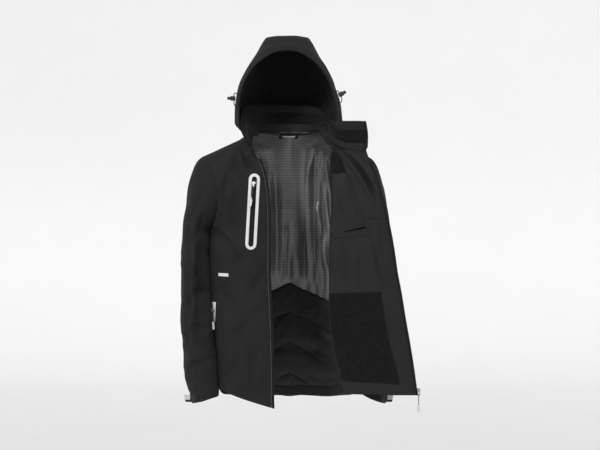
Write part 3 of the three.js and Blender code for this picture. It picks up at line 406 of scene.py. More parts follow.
def swell(p, size):
    """A slow uneven wave of about one unit either way; size is its usual length in mm."""
    x, y, z = (p[:, k] / size for k in range(3))
    return (
        np.sin(2.1 * x + 1.3 * z + 0.7)
        + np.sin(1.7 * z - 2.3 * y + 1.9 * x + 2.1)
        + np.sin(3.1 * z + 0.6 * x + 1.1 * y + 4.0)
        + 0.6 * np.sin(4.3 * x - 3.7 * z + 2.2 * y + 0.4)
    ) / 2.4


def smooth_step(value, low, high):
    t = np.clip((value - low) / (high - low), 0, 1)
    return t * t * (3 - 2 * t)


def near_line(p, line):
    x0, z0, x1, z1 = line
    along = np.array([x1 - x0, z1 - z0])
    t = ((p[:, 0] - x0) * along[0] + (p[:, 2] - z0) * along[1]) / (along @ along)
    t = np.clip(t, 0, 1)
    return np.hypot(p[:, 0] - x0 - t * along[0], p[:, 2] - z0 - t * along[1])


flat_lines = [
    ((-92, -118, -101, -298), 24, 42),
    ((-204, -440, -194, -625), 14, 34),
    ((197, -440, 190, -625), 14, 34),
    ((-196, -381, -167, -381), 10, 30),
]


def calm(p):
    """0 where a pocket or zip holds the front flat, 1 away from it."""
    held = np.ones(len(p))
    at_front = p[:, 1] < 10
    for line, near, far in flat_lines:
        held = np.where(at_front, held * smooth_step(near_line(p, line), near, far), held)
    return held


print("the cloth is held flat along", len(flat_lines), "lines")

# %% [markdown]
# Each row of a fold table is one crease on the front view in mm: start x and z, end x and z, depth, half
# width and bow. The fronts follow the photograph: creases fan out from the collar, cross the chest, and run
# down from the shoulder of the open front.

# %% Creases of the fronts
right_front_folds = [
    (-146, -74, -202, -226, 7.5, 10, 8),
    (-128, -36, -94, -108, 6.0, 7, 2),
    (-141, -46, -146, -140, 4.6, 8, 3),
    (-118, -120, -150, -262, 4.0, 13, 9),
    (-176, -80, -212, -176, 4.5, 9, 6),
    (-206, -262, -136, -352, 6.5, 12, -9),
    (-150, -388, -198, -436, 4.0, 7, 4),
    (-214, -420, -140, -500, 4.2, 12, 7),
    (-72, -300, -150, -352, 3.0, 12, 6),
    (-66, -470, -150, -560, 4.0, 16, 8),
    (-196, -420, -120, -520, 4.5, 15, -8),
    (-84, -560, -96, -690, 3.5, 14, 5),
    (-130, -590, -176, -660, 4.0, 14, -6),
    (-60, -370, -104, -440, 3.0, 11, 5),
]
left_front_folds = [
    (150, -330, 200, -450, 3.5, 14, 6),
    (190, -420, 160, -540, 3.0, 13, -6),
]
leaf_folds = [
    (154, -42, 236, -168, 11.5, 6.0, -6),
    (200, -52, 248, -132, 5.0, 6.5, -4),
    (166, -130, 208, -232, 2.6, 8, 5),
    (140, -160, 165, -235, 2.4, 8, 4),
    (198, -314, 190, -416, 2.6, 5, 3),
    (150, -290, 166, -400, 2.2, 10, -6),
    (232, -304, 261, -416, 4.2, 5, 3),
    (246, -230, 256, -320, 2.2, 7, -3),
    (270, -470, 300, -620, 2.4, 8, 4),
    (160, -480, 190, -600, 2.0, 15, 5),
    (230, -520, 250, -640, 2.0, 14, -5),
]
print("creases:", len(right_front_folds), "right front,", len(left_front_folds + leaf_folds), "left front")

# %% [markdown]
# The back isn't seen in the photograph. It gets creases of the same kind: from the armholes down, across the
# waist, and short ones under the neck. Sleeves bunch in slanted creases that meet in zigzags.

# %% Creases of the back and the sleeves
back_folds = [
    (-168, -100, -120, -330, 5.0, 15, 10),
    (168, -96, 122, -340, 5.0, 16, -10),
    (-120, -60, -40, -150, 3.2, 13, -8),
    (110, -50, 40, -160, 3.2, 13, 8),
    (-190, -280, -90, -400, 4.5, 15, 10),
    (186, -290, 96, -420, 4.2, 15, -9),
    (-60, -460, -160, -560, 4.4, 17, 8),
    (50, -500, 150, -600, 4.6, 18, -9),
    (-20, -330, 60, -430, 3.4, 16, 8),
    (-180, -560, -60, -640, 4.0, 15, -8),
    (170, -430, 80, -520, 3.6, 15, 7),
    (0, -560, 20, -690, 3.0, 15, 6),
]
sleeve_front_folds = [
    (-236, -236, -250, -560, 4.5, 8, 5),
    (-274, -190, -284, -610, 3.0, 8, -6),
    (-206, -130, -262, -232, 5.0, 11, 9),
    (-212, -180, -276, -300, 4.2, 11, -8),
    (-290, -150, -240, -330, 3.6, 10, 8),
    (-296, -330, -236, -404, 4.5, 10, -8),
    (-232, -420, -294, -478, 5.0, 10, 7),
    (-300, -452, -240, -512, 4.6, 10, -7),
    (-228, -520, -290, -566, 4.2, 10, 8),
    (-296, -560, -238, -626, 4.4, 10, -7),
    (-222, -610, -284, -660, 4.2, 9, 6),
    (-290, -650, -226, -694, 3.6, 8, -5),
]
sleeve_back_folds = [
    (-214, -150, -270, -270, 5.0, 12, 9),
    (-292, -220, -236, -330, 4.4, 12, -8),
    (-236, -350, -298, -420, 5.0, 11, 8),
    (-300, -410, -238, -470, 5.4, 11, -8),
    (-232, -480, -296, -530, 5.0, 11, 8),
    (-298, -540, -232, -600, 4.6, 11, -8),
    (-224, -600, -288, -650, 4.2, 10, 7),
]
print("creases:", len(back_folds), "back,", len(sleeve_front_folds + sleeve_back_folds), "on each sleeve")

# %% [markdown]
# A shape takes the points in mm, their normals and their distance from the border in metres, and returns how
# far each point moves. Near zips, neck and armholes the move fades to nothing, so that sewn pieces stay
# together. At the side seam, where a front view can't tell near from far, the creases fade out too.

# %% Shape of the torso and its hem
smooth_side_y = -8
armhole_centres = ((-230, -1), (210, 1))
armhole_half_height = 110
armhole_middle_z = -160
armhole_steps = 40


def longer_back(p):
    """The back hem hangs level with the front, a little lower than its solid, from the side seams on."""
    low = smooth_step(-p[:, 2], 470, 690)
    behind = smooth_step(p[:, 1], -10, 60)
    level = 8 + 20 * smooth_step(np.abs(p[:, 0]), 0, 130)
    return np.stack([0 * low, 0 * low, -low * behind * level], axis=1)


def hem_shape(p, n, seam):
    return longer_back(p)


def torso_shape(p, n, seam):
    at_front = p[:, 1] < smooth_side_y
    x, z = p[:, 0], p[:, 2]
    depth = np.where(
        at_front,
        np.where(x < 0, troughs(x, z, right_front_folds), troughs(x, z, left_front_folds)),
        troughs(x, z, back_folds),
    )
    side_fade = smooth_step(np.abs(p[:, 1] - smooth_side_y), 0, 30)
    border = smooth_step(seam / MM, 0, 26)
    wave = swell(p, 62) * 2.2 * border + swell(p[:, [1, 2, 0]], 27) * 0.5 * border
    return longer_back(p) - n * ((depth * side_fade * 1.5 + wave) * calm(p) * edge_fade(p))[:, None]


def edge_fade(p):
    """0 along the neck, the armholes and the right zip, so that sewn pieces stay together."""
    x, y, z = p[:, 0], p[:, 1], p[:, 2]
    neck = smooth_step(np.sqrt((x / 105) ** 2 + ((z + 10) / 70) ** 2 + ((y - 5) / 90) ** 2), 1.0, 1.45)
    zip_line = smooth_step(np.abs(x + 50) + np.where(y > 0, 100, 0), 6, 26)
    hole = armhole_distance(p)
    return neck * zip_line * smooth_step(hole, 2, 30)


def armhole_distance(p):
    """Distance in mm from the nearer armhole, each a tall ring whose middle sags inwards."""
    best = np.full(len(p), 1e3)
    for centre, sign in armhole_centres:
        for turn in np.linspace(0, 2 * math.pi, armhole_steps, endpoint=False):
            at_front = math.sin(turn) > 0
            sag = 34 if at_front else 22
            depth = -82 if at_front else -84
            q = np.array([
                centre + sign * (8 * math.cos(turn) - sag * math.sin(turn) ** 2),
                4 + 4 * math.cos(turn) + depth * math.sin(turn),
                armhole_middle_z + armhole_half_height * math.cos(turn),
            ])
            best = np.minimum(best, np.linalg.norm(p - q, axis=1))
    return best


print("the creases fade out at the side seams, where y is", smooth_side_y, "mm")

# %% [markdown]
# Both sleeves share their fold tables: on the left they are mirrored and set a little lower. The inner side
# of the right sleeve leans in, because the arm hangs against the body in the photograph and no light comes
# through.

# %% Shape of the sleeves
rest_heights = [-750, -700, -600, -500, -400, -300, -276, -254]
rest_amounts = [11, 17, 26, 28, 27, 22, 16, 0]
sleeve_middle_y = 12


def sleeve_shape(p, n, seam):
    right = p[:, 0] < 0
    x = np.where(right, p[:, 0], -p[:, 0] + 4)
    z = np.where(right, p[:, 2], p[:, 2] + 14)
    at_front = p[:, 1] < sleeve_middle_y
    depth = np.where(at_front, troughs(x, z, sleeve_front_folds), troughs(x, z, sleeve_back_folds))
    side_fade = smooth_step(np.abs(p[:, 1] - sleeve_middle_y), 0, 34)
    border = smooth_step(seam / MM, 2, 30)
    inner = smooth_step(np.abs(x) - 232 + smooth_step(-z, 300, 700) * 26, -6, 22)
    wave = swell(p, 48) * 1.1 + swell(p[:, [1, 2, 0]], 24) * 0.5
    move = -n * ((depth * side_fade * 1.25 + wave) * border * inner)[:, None]
    move[:, 0] += rest_on_body(p, right)
    return move


def rest_on_body(p, right):
    """How far the inner front of the right sleeve leans in, so that it rests against the side of the body."""
    inner_side = smooth_step(p[:, 0], -262, -238)
    in_front = np.exp(-(((p[:, 1] + 47) / 19) ** 2))
    return np.where(right, inner_side * in_front * np.interp(p[:, 2], rest_heights, rest_amounts), 0)


print("the right sleeve leans in by up to", max(rest_amounts), "mm")

# %% [markdown]
# Hood and collar are cut stiffer and hold their form, so they only get shallow dents and a ripple along the
# seams. The cuff follows its sleeve.

# %% Shape of the hood, collar and cuffs
crown_rise = 8


def hood_shape(p, n, seam):
    """The crown stands a little higher than its solid, with shallow dents beside the strip's seams."""
    rise = crown_rise * smooth_step(p[:, 2], 205, 276) * smooth_step(p[:, 1], -45, -5)
    dents = swell(p, 44) * 1.2 * smooth_step(seam / MM, 0, 24) * smooth_step(p[:, 2], 60, 120)
    return np.stack([0 * rise, 0 * rise, rise], axis=1) - n * dents[:, None]


def collar_shape(p, n, seam):
    """Pulled by its seams, the collar ripples along its length. Both of its sides move alike."""
    ring = np.arctan2(p[:, 0] - 5, p[:, 1] + 20)
    ripple = np.sin(ring * 9 + 0.8) + 0.6 * np.sin(ring * 17 + p[:, 2] / 16)
    strong = smooth_step(seam / MM, 0, 12)
    out = p * [1, 1, 0] - [5, -20, 0]
    out = out / np.maximum(np.linalg.norm(out, axis=1), 1)[:, None]
    return out * (ripple * 0.9 * strong)[:, None]


def cuff_shape(p, n, seam):
    return np.stack([rest_on_body(p, p[:, 0] < 0), 0 * seam, 0 * seam], axis=1)


print("the crown stands", crown_rise, "mm higher than its solid")

# %% [markdown]
# The open left front is a leaf of several layers: shell behind, facing, panel and pocket before it. All of
# them move by the same amount at the same place, or they would cut through each other.


# %% Shape of the open left front
def leaf_shape(p, n, seam):
    """Shell and facings of the open front move as one, straight back or forward."""
    x, z = p[:, 0], p[:, 2]
    depth = 1.4 * troughs(x, z, leaf_folds) + swell(p * [1, 0, 1], 70) * 1.6 + swell(p * [1, 0, 1], 30) * 0.35
    top = smooth_step(-z, 6, 46)
    pull_corner = smooth_step(np.hypot(x - 352, (z + 700) / 1.6), 14, 60)
    front = smooth_step(-p[:, 1], 20, 66)
    depth = depth * top * front * pull_corner * smooth_step(armhole_distance(p), 2, 30)
    return longer_back(p) + np.stack([0 * x, depth, 0 * x], axis=1)


print("the leaf has", len(leaf_folds), "creases of its own")

# %% [markdown]
# The mesh lining hangs loose behind the open front and catches the light in long ridges. Each is a bent line
# with a height and a half width, because these folds turn as they fall. Its lower edge puckers where it is
# sewn to the quilting.

# %% Drape of the mesh lining
mesh_ridges = [
    (8.5, 9, [(80, -14), (58, -77), (52, -135), (49, -241), (43, -310), (44, -428)]),
    (4.6, 6, [(96, -40), (98, -109), (105, -169), (112, -227), (120, -280)]),
    (4.2, 5, [(102, -26), (110, -100), (119, -158), (127, -235)]),
    (4.2, 5, [(112, -8), (124, -71), (134, -143), (137, -210)]),
    (7.0, 8, [(78, -172), (84, -204), (90, -258), (102, -329), (110, -375)]),
    (3.0, 5, [(-8, -204), (-8, -276), (-12, -346), (-10, -416)]),
    (6.4, 13, [(-44, -60), (-38, -204), (-36, -310), (-40, -400)]),
    (3.0, 8, [(12, -330), (14, -424)]),
    (3.5, 6, [(72, -330), (78, -420)]),
    (3.0, 5, [(-100, -4), (-56, -22)]),
    (3.0, 5, [(48, -26), (84, -6)]),
    (5.5, 8, [(-86, -14), (-70, -80), (-72, -180), (-78, -300), (-70, -440)]),
    (5.0, 6, [(-112, -60), (-120, -160), (-128, -280), (-120, -450)]),
    (5.5, 9, [(-150, -120), (-156, -220), (-162, -330), (-150, -470)]),
    (5.0, 8, [(150, -110), (158, -220), (162, -340), (150, -480)]),
    (4.5, 6, [(132, -240), (136, -340), (128, -460)]),
]


def along_path(x, z, path):
    """Distance from a bent line and share of the way along it."""
    best = np.full(len(x), 1e9)
    share = np.zeros(len(x))
    steps = len(path) - 1
    for k, ((x0, z0), (x1, z1)) in enumerate(zip(path, path[1:])):
        reach = (x1 - x0) ** 2 + (z1 - z0) ** 2
        t = np.clip(((x - x0) * (x1 - x0) + (z - z0) * (z1 - z0)) / reach, 0, 1)
        away = np.hypot(x - x0 - t * (x1 - x0), z - z0 - t * (z1 - z0))
        share = np.where(away < best, (k + t) / steps, share)
        best = np.minimum(best, away)
    return best, share


def mesh_shape(p, n, seam):
    """Thin mesh hangs loose: narrow ridges that start sharp under the shoulder and widen downwards."""
    x, z = p[:, 0], p[:, 2]
    rise = np.zeros(len(x))
    for height, wide, path in mesh_ridges:
        away, share = along_path(x, z, path)
        spread = wide * (0.75 + 0.5 * share)
        ends = smooth_step(share, 0, 0.25) * smooth_step(1 - share, 0, 0.12)
        rise += 1.45 * height * ends * np.exp(-((away / spread) ** 1.5))
    near_edge = np.exp(-(((seam / MM) / 14) ** 2)) * smooth_step(-z, 250, 330)
    puckers = np.sin(x / 4.6 + 1.4 * np.sin(x / 19)) * near_edge
    loose = smooth_step(seam / MM, 0, 22)
    lift = (rise + 1.0 + swell(p, 40) * 0.8) * loose + puckers * 1.3 * smooth_step(seam / MM, 0.5, 3)
    return n * np.maximum(lift, -0.5)[:, None]


print("the mesh lining has", len(mesh_ridges), "ridges")

# %% [markdown]
# Quilting is stitched in rows that meet in a chevron down the middle of the back. The wadding swells between
# the rows and is drawn in along them. The distance from the nearest row is worked out once, here, so that the
# material's stitches lie exactly in the valleys of the sheet.

# %% Quilting rows
quilt_apex_x = -1.0
quilt_slope = 0.42
quilt_top = -412
quilt_step = 84


def quilt_fall(p):
    """Height over the top row of the chevron, counted in rows."""
    return (p[:, 2] - quilt_top + np.abs(p[:, 0] - quilt_apex_x) * quilt_slope) / quilt_step


def off_quilt_row(p):
    """Distance in mm from the nearest row."""
    fall = quilt_fall(p)
    return np.abs(fall - np.round(fall)) * quilt_step


def quilt_shape(p, n, seam):
    """Wadding stands up between the rows of the chevron and is pulled down, with puckers, along them."""
    x = p[:, 0]
    off_row = off_quilt_row(p)
    puff = np.clip(off_row / 11, 0, 1) ** 0.6
    pucker = np.sin(x / 4.6 + 2 * np.sin(x / 23 + quilt_fall(p))) * np.exp(-((off_row / 11) ** 2))
    wave = swell(p, 30) * 0.9 + swell(p[:, [2, 0, 1]], 13) * 0.6
    loose = smooth_step(seam / MM, 0, 7)
    return longer_back(p) + n * ((puff * 2.8 + pucker * 0.8 + wave * puff * 1.3) * loose)[:, None]


print("quilting rows are", quilt_step, "mm apart")

# %% [markdown]
# ## Cloth pieces
# Every cloth piece goes through the same steps: sheet, smooth curve, creases, tucked edges, thickness and a
# soft rim. A flat map in metres, laid over the sheet from its nearest side, carries weave and stitches. An
# unwrap would be fitted into a square and lose its true size.

# %% Flat map and thickness
side_on = 0.85
rim_share = 0.35
rim_angle = 55


def map_in_metres(mesh, from_front=False):
    """A flat map from the side that each face looks to, or from the front where threads must line up."""
    layer = mesh.uv_layers.new(name="Cloth") if not mesh.uv_layers else mesh.uv_layers[0]
    points = points_of(mesh)
    for face in mesh.polygons:
        ax, ay, az = (abs(v) for v in face.normal)
        if from_front and ax < side_on:
            u, v = 0, 2
        elif az > ax and az > ay:
            u, v = 0, 1
        elif ax > ay:
            u, v = 1, 2
        else:
            u, v = 0, 2
        for loop in face.loop_indices:
            place = points[mesh.loops[loop].vertex_index]
            layer.data[loop].uv = (place[u], place[v])


def give_thickness(piece, thick):
    solid = piece.modifiers.new("Thickness", "SOLIDIFY")
    solid.thickness = thick
    solid.offset = -1
    solid.use_even_offset = False
    only(piece)
    bpy.ops.object.modifier_apply(modifier=solid.name)
    rim = piece.modifiers.new("Rim", "BEVEL")
    rim.width = thick * rim_share
    rim.segments = 2
    rim.limit_method = "ANGLE"
    rim.angle_limit = math.radians(rim_angle)
    bpy.ops.object.modifier_apply(modifier=rim.name)
    bpy.ops.object.shade_smooth()


def sheet_area(mesh):
    return sum(face.area for face in mesh.polygons)


print("maps are laid in metres")

# %% [markdown]
# To know which face of a wall looks out, each face's middle is compared with a point inside the part of the
# jacket that it belongs to: a line down the trunk, the neck or an arm, the middle of the head, or a place far
# in front of the open front.


# %% Points inside the jacket
def body_line(centre):
    return Vector((centre.x * 0.45, 10 * MM, centre.z))


def leaf_line(centre):
    far_in_front = -1.0
    return Vector((centre.x, far_in_front, centre.z))


def right_arm(centre):
    return Vector((-258 * MM, 8 * MM, centre.z))


def left_arm(centre):
    return Vector((250 * MM, 8 * MM, centre.z))


def head(centre):
    return Vector((-5 * MM, 40 * MM, 130 * MM))


def neck(centre):
    return Vector((10 * MM, 10 * MM, centre.z))


print("the trunk's line lies", round(body_line(Vector((0, 0, 0))).y / MM), "mm behind the origin")

# %% [markdown]
# The solids stand 0.3 mm apart at seams, which would show as light gaps. A real seam hides its edges under
# the neighbour, so each edge runs a little further and sinks. Under the hood, where one looks steeply into
# the neck seam, it runs further still.

# %% Edges that run under their neighbour
shown_share = 0.7
extra_sink = 0.35 * MM
sink_width = 3.2


def at_back_of_neck(co):
    return co.y > -30 * MM and abs(co.x) < 135 * MM and -25 * MM < co.z < 60 * MM


def tuck_border(mesh, seam, wall, reach, neck_reach):
    """The edge runs on under its neighbour and sinks by a little more than the wall that isn't shown."""
    sunk = (wall * (1 - shown_share) + extra_sink) * (1 - smooth_step(seam / MM, 0, sink_width))
    points = points_of(mesh) - normals_of(mesh) * sunk[:, None]
    set_points(mesh, points)
    bm = bmesh.new()
    bm.from_mesh(mesh)
    moves = {}
    for edge in bm.edges:
        if edge.is_boundary:
            a, b = edge.verts
            away = (a.co + b.co) / 2 - edge.link_faces[0].calc_center_median()
            along = (b.co - a.co).normalized()
            further = neck_reach if at_back_of_neck(a.co) else 0
            away = (away - along * away.dot(along)).normalized() * (reach + further)
            for vertex in (a, b):
                moves.setdefault(vertex, []).append(away)
    for vertex, found in moves.items():
        vertex.co += sum(found, Vector()) / len(found)
    bm.to_mesh(mesh)
    bm.free()


print("the shown cloth has", shown_share, "of its solid's wall")

# %% [markdown]
# The steps now come together. Each piece prints its sheet's area and box, and the distance from the border is
# stored on its points, so that the material can roll the cloth down into its seams.

# %% One cloth piece from its solid
cloth_pieces = {}
borders = {}
plain_tuck = 1.2


def store_value(mesh, label, values):
    attribute = mesh.attributes.new(label, "FLOAT", "POINT")
    attribute.data.foreach_set("value", values.astype(np.float32))


def make_cloth(
    node, slot, wall, inside, side, levels=3, shape=None, tuck=plain_tuck, neck_tuck=0
):
    """Makes the finished sheet that stands for a node. tuck and neck_tuck are in mm."""
    piece = copy_of(node, node + "_Cloth")
    keep_face(piece, wall, inside, side)
    pair_triangles(piece)
    smooth_through(piece, levels)
    mesh = piece.data
    measured = sheet_area(mesh)
    seam = seam_distance(mesh)
    borders[node] = border_of(mesh)
    points = points_of(mesh) / MM
    rows = off_quilt_row(points)
    if shape:
        set_points(mesh, (points + shape(points, normals_of(mesh), seam)) * MM)
    tuck_border(mesh, seam, wall, tuck * MM, neck_tuck * MM)
    store_value(mesh, "seam", seam)
    if slot == "quilted_lining":
        store_value(mesh, "row", rows * MM)
    give_thickness(piece, wall * shown_share)
    map_in_metres(mesh, from_front=slot == "mesh_lining")
    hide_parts(node)
    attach(piece, "jacket")
    cloth_pieces[node] = piece
    piece["slot"] = slot
    box = tuple(round(reach, 3) for reach in piece.dimensions)
    print(f"{node}: {len(mesh.polygons)} faces, {measured:.4f} m2, box", box)


print("edges run", plain_tuck, "mm under their neighbour where nothing else is given")

# %% [markdown]
# The torso is cut in panels, with a seam across each front at the waist, a narrow side panel that holds the
# hand zip, and a turned-up hem band. Each panel stays its own piece, because its seams are what shows.

# %% Torso panels
shell_wall = 1.6 * MM
torso_panels = [
    ("Right_Front_Upper", body_line, torso_shape, (0.26, 0.42), 0.074),
    ("Right_Front_Lower", body_line, torso_shape, (0.17, 0.34), 0.048),
    ("Right_Front_Side", body_line, torso_shape, (0.09, 0.31), 0.023),
    ("Right_Hem_Band", body_line, hem_shape, (0.23, 0.033), 0.0063),
    ("Left_Front_Upper", leaf_line, leaf_shape, (0.33, 0.42), 0.09),
    ("Left_Front_Lower", leaf_line, leaf_shape, (0.3, 0.32), 0.079),
    ("Left_Front_Side", body_line, leaf_shape, (0.08, 0.3), 0.019),
    ("Left_Hem_Band", leaf_line, leaf_shape, (0.33, 0.033), 0.0089),
    ("Back", body_line, torso_shape, (0.56, 0.78), 0.369),
    ("Back_Hem_Band", body_line, hem_shape, (0.52, 0.035), 0.0152),
]
for node, inside, shape, flat, area in torso_panels:
    make_cloth(
        node, "softshell", shell_wall, inside, "outer", shape=shape,
        neck_tuck=5 if node == "Back" else 0,
    )
print(len(torso_panels), "torso panels are made")

# %% [markdown]
# Sleeves are set in at the armhole. Their upper edge runs far under the torso, because from behind one looks
# into the seam at the foot of the armhole.

# %% Sleeves and cuffs
for node, inside, shape, flat, area, tuck in [
    ("Right_Sleeve", right_arm, sleeve_shape, (0.46, 0.68), 0.219, 8.0),
    ("Left_Sleeve", left_arm, sleeve_shape, (0.46, 0.68), 0.221, 8.0),
    ("Right_Cuff", right_arm, cuff_shape, (0.26, 0.03), 0.0065, plain_tuck),
    ("Left_Cuff", left_arm, cuff_shape, (0.26, 0.03), 0.0065, plain_tuck),
]:
    make_cloth(node, "softshell", shell_wall, inside, "outer", shape=shape, tuck=tuck)
print("right sleeve reaches down to", round(points_of(cloth_pieces["Right_Sleeve"].data)[:, 2].min(), 3), "m")

# %% [markdown]
# The collar stands round the neck: shell outside, and inside a strip of fleece between two narrow facings.
# The inner face of each inner piece is the one that shows.

# %% Collar
lining_wall = 1.0 * MM
fleece_wall = 1.8 * MM
tunnel_wall = 3.9 * MM
for node, slot, wall, side, flat, area, neck_tuck in [
    ("Collar_Outer", "softshell", shell_wall, "outer", (0.62, 0.09), 0.039, 10),
    ("Collar_Low_Facing", "facing", lining_wall, "inner", (0.5, 0.03), 0.0103, 3),
    ("Collar_Fleece_Strip", "fleece", fleece_wall, "inner", (0.55, 0.04), 0.0161, 0),
    ("Collar_Top_Facing", "softshell", lining_wall, "inner", (0.58, 0.025), 0.0105, 0),
]:
    make_cloth(node, slot, wall, neck, side, shape=collar_shape, neck_tuck=neck_tuck)
print("collar rises to", round(points_of(cloth_pieces["Collar_Outer"].data)[:, 2].max(), 3), "m")

# %% [markdown]
# The hood has two sides and a strip over the crown. Its edge is a folded tunnel for the cord, and fleece
# lines it.

# %% Hood
for node, slot, wall, side, flat, area in [
    ("Hood_Tunnel", "softshell", tunnel_wall, "outer", (0.62, 0.026), 0.0142),
    ("Hood_Right_Side", "softshell", shell_wall, "outer", (0.3, 0.28), 0.059),
    ("Hood_Crown_Strip", "softshell", shell_wall, "outer", (0.13, 0.45), 0.039),
    ("Hood_Left_Side", "softshell", shell_wall, "outer", (0.3, 0.28), 0.059),
    ("Hood_Right_Lining", "fleece", fleece_wall, "inner", (0.32, 0.33), 0.074),
    ("Hood_Left_Lining", "fleece", fleece_wall, "inner", (0.32, 0.33), 0.074),
]:
    shape = None if node == "Hood_Tunnel" else hood_shape
    neck_tuck = 7 if node in ("Hood_Right_Side", "Hood_Left_Side") else 0
    make_cloth(node, slot, wall, head, side, shape=shape, neck_tuck=neck_tuck)
print("hood rises to", round(points_of(cloth_pieces["Hood_Crown_Strip"].data)[:, 2].max(), 3), "m")

# %% [markdown]
# The open front shows how the jacket is lined: facings along the zip and hem, a fleece yoke, a woven panel
# with the welt of the inner pocket, and a large fleece pocket below.

# %% Inside of the open left front
for node, slot, wall, flat, area in [
    ("Left_Inner_Yoke", "fleece", fleece_wall, (0.06, 0.08), 0.0025),
    ("Left_Inner_Panel", "facing", lining_wall, (0.14, 0.33), 0.034),
    ("Left_Fleece_Pocket", "fleece", fleece_wall, (0.2, 0.25), 0.0387),
    ("Left_Upper_Facing", "facing", lining_wall, (0.12, 0.2), 0.014),
    ("Left_Lower_Facing", "facing", lining_wall, (0.08, 0.46), 0.022),
    ("Left_Hem_Facing", "facing", lining_wall, (0.21, 0.03), 0.006),
    ("Left_Pocket_Welt", "facing", lining_wall, (0.1, 0.02), 0.0018),
]:
    make_cloth(node, slot, wall, leaf_line, "inner", shape=leaf_shape)
print("open front reaches out to", round(points_of(cloth_pieces["Left_Hem_Facing"].data)[:, 0].max(), 3), "m")

# %% [markdown]
# Behind the opening one sees the inside of the back: silver mesh above, quilted taffeta below, a hem facing
# and the neck label.

# %% Back linings
make_cloth(
    "Back_Mesh_Lining", "mesh_lining", lining_wall, body_line, "inner",
    shape=mesh_shape, tuck=1.5, neck_tuck=3,
)
make_cloth(
    "Back_Quilted_Lining", "quilted_lining", lining_wall, body_line, "inner",
    shape=quilt_shape, tuck=2.0,
)
make_cloth(
    "Back_Hem_Facing", "facing", lining_wall, body_line, "inner",
    shape=hem_shape,
)
make_cloth("Neck_Label", "label", lining_wall, body_line, "inner")
print("linings reach down to", round(points_of(cloth_pieces["Back_Hem_Facing"].data)[:, 2].min(), 3), "m")

# %% [markdown]
# Zip tapes are narrow and sewn down hard, so they get no creases of their own. Only the left one moves with
# the open front. The cuff tabs are short straps that lie on the cuff.

# %% Zip tapes and tabs
tape_wall = 1.2 * MM
coil_wall = 0.9 * MM
tab_wall = 1.3 * MM
for node, wall, inside, shape, flat, area in [
    ("Right_Zip_Tape", tape_wall, body_line, None, (0.01, 0.75), 0.005),
    ("Left_Zip_Tape", tape_wall, leaf_line, leaf_shape, (0.01, 0.75), 0.005),
    ("Chest_Zip", coil_wall, body_line, None, (0.013, 0.177), 0.0023),
    ("Right_Hand_Zip", coil_wall, body_line, None, (0.01, 0.17), 0.0014),
    ("Left_Hand_Zip", coil_wall, body_line, None, (0.01, 0.17), 0.0012),
]:
    make_cloth(node, "zip_tape", wall, inside, "outer", shape=shape)
for side, arm in (("Right", right_arm), ("Left", left_arm)):
    make_cloth(side + "_Cuff_Tab", "softshell", tab_wall, arm, "outer")
print(len(cloth_pieces), "cloth pieces are made")

# %% [markdown]
# ## Materials
# Nearly all of the jacket is black cloth, so the pieces differ in grain and gloss more than in colour. An
# image could carry the weave, but it would blur up close, so it is worked out by nodes. A few small helpers
# keep the node trees as readable as sums.


# %% Helpers that wire nodes
def new_group(name, inputs, outputs):
    tree = bpy.data.node_groups.new(name, "ShaderNodeTree")
    for label, value in inputs:
        socket = tree.interface.new_socket(label, in_out="INPUT", socket_type="NodeSocketFloat")
        socket.default_value = value
    for label in outputs:
        tree.interface.new_socket(label, in_out="OUTPUT", socket_type="NodeSocketFloat")
    return tree, tree.nodes.new("NodeGroupInput"), tree.nodes.new("NodeGroupOutput")


def feed(tree, socket, value):
    if isinstance(value, bpy.types.NodeSocket):
        tree.links.new(value, socket)
    elif value is not None:
        socket.default_value = value


def calc(tree, operation, a, b=None, c=None):
    node = tree.nodes.new("ShaderNodeMath")
    node.operation = operation
    for socket, value in zip(node.inputs, (a, b, c)):
        feed(tree, socket, value)
    return node.outputs[0]


def remap(tree, value, low, high, to_low=0.0, to_high=1.0):
    node = tree.nodes.new("ShaderNodeMapRange")
    node.interpolation_type = "SMOOTHSTEP"
    for socket, item in zip(node.inputs, (value, low, high, to_low, to_high)):
        feed(tree, socket, item)
    return node.outputs[0]


def noise(tree, vector, scale, detail=2.0):
    node = tree.nodes.new("ShaderNodeTexNoise")
    feed(tree, node.inputs["Vector"], vector)
    feed(tree, node.inputs["Scale"], scale)
    node.inputs["Detail"].default_value = detail
    return node.outputs["Fac"]


def cloth_map(tree):
    node = tree.nodes.new("ShaderNodeUVMap")
    node.uv_map = "Cloth"
    split = tree.nodes.new("ShaderNodeSeparateXYZ")
    tree.links.new(node.outputs["UV"], split.inputs[0])
    return node.outputs["UV"], split.outputs["X"], split.outputs["Y"]


def place(tree):
    node = tree.nodes.new("ShaderNodeTexCoord")
    split = tree.nodes.new("ShaderNodeSeparateXYZ")
    tree.links.new(node.outputs["Object"], split.inputs[0])
    return node.outputs["Object"], split.outputs["X"], split.outputs["Y"], split.outputs["Z"]


print("node helpers are ready")

# %% [markdown]
# Three node groups hold what several cloths share. The first is the weave: two sine waves across each other,
# made uneven by a fine noise. Its number of threads is a count in each metre.


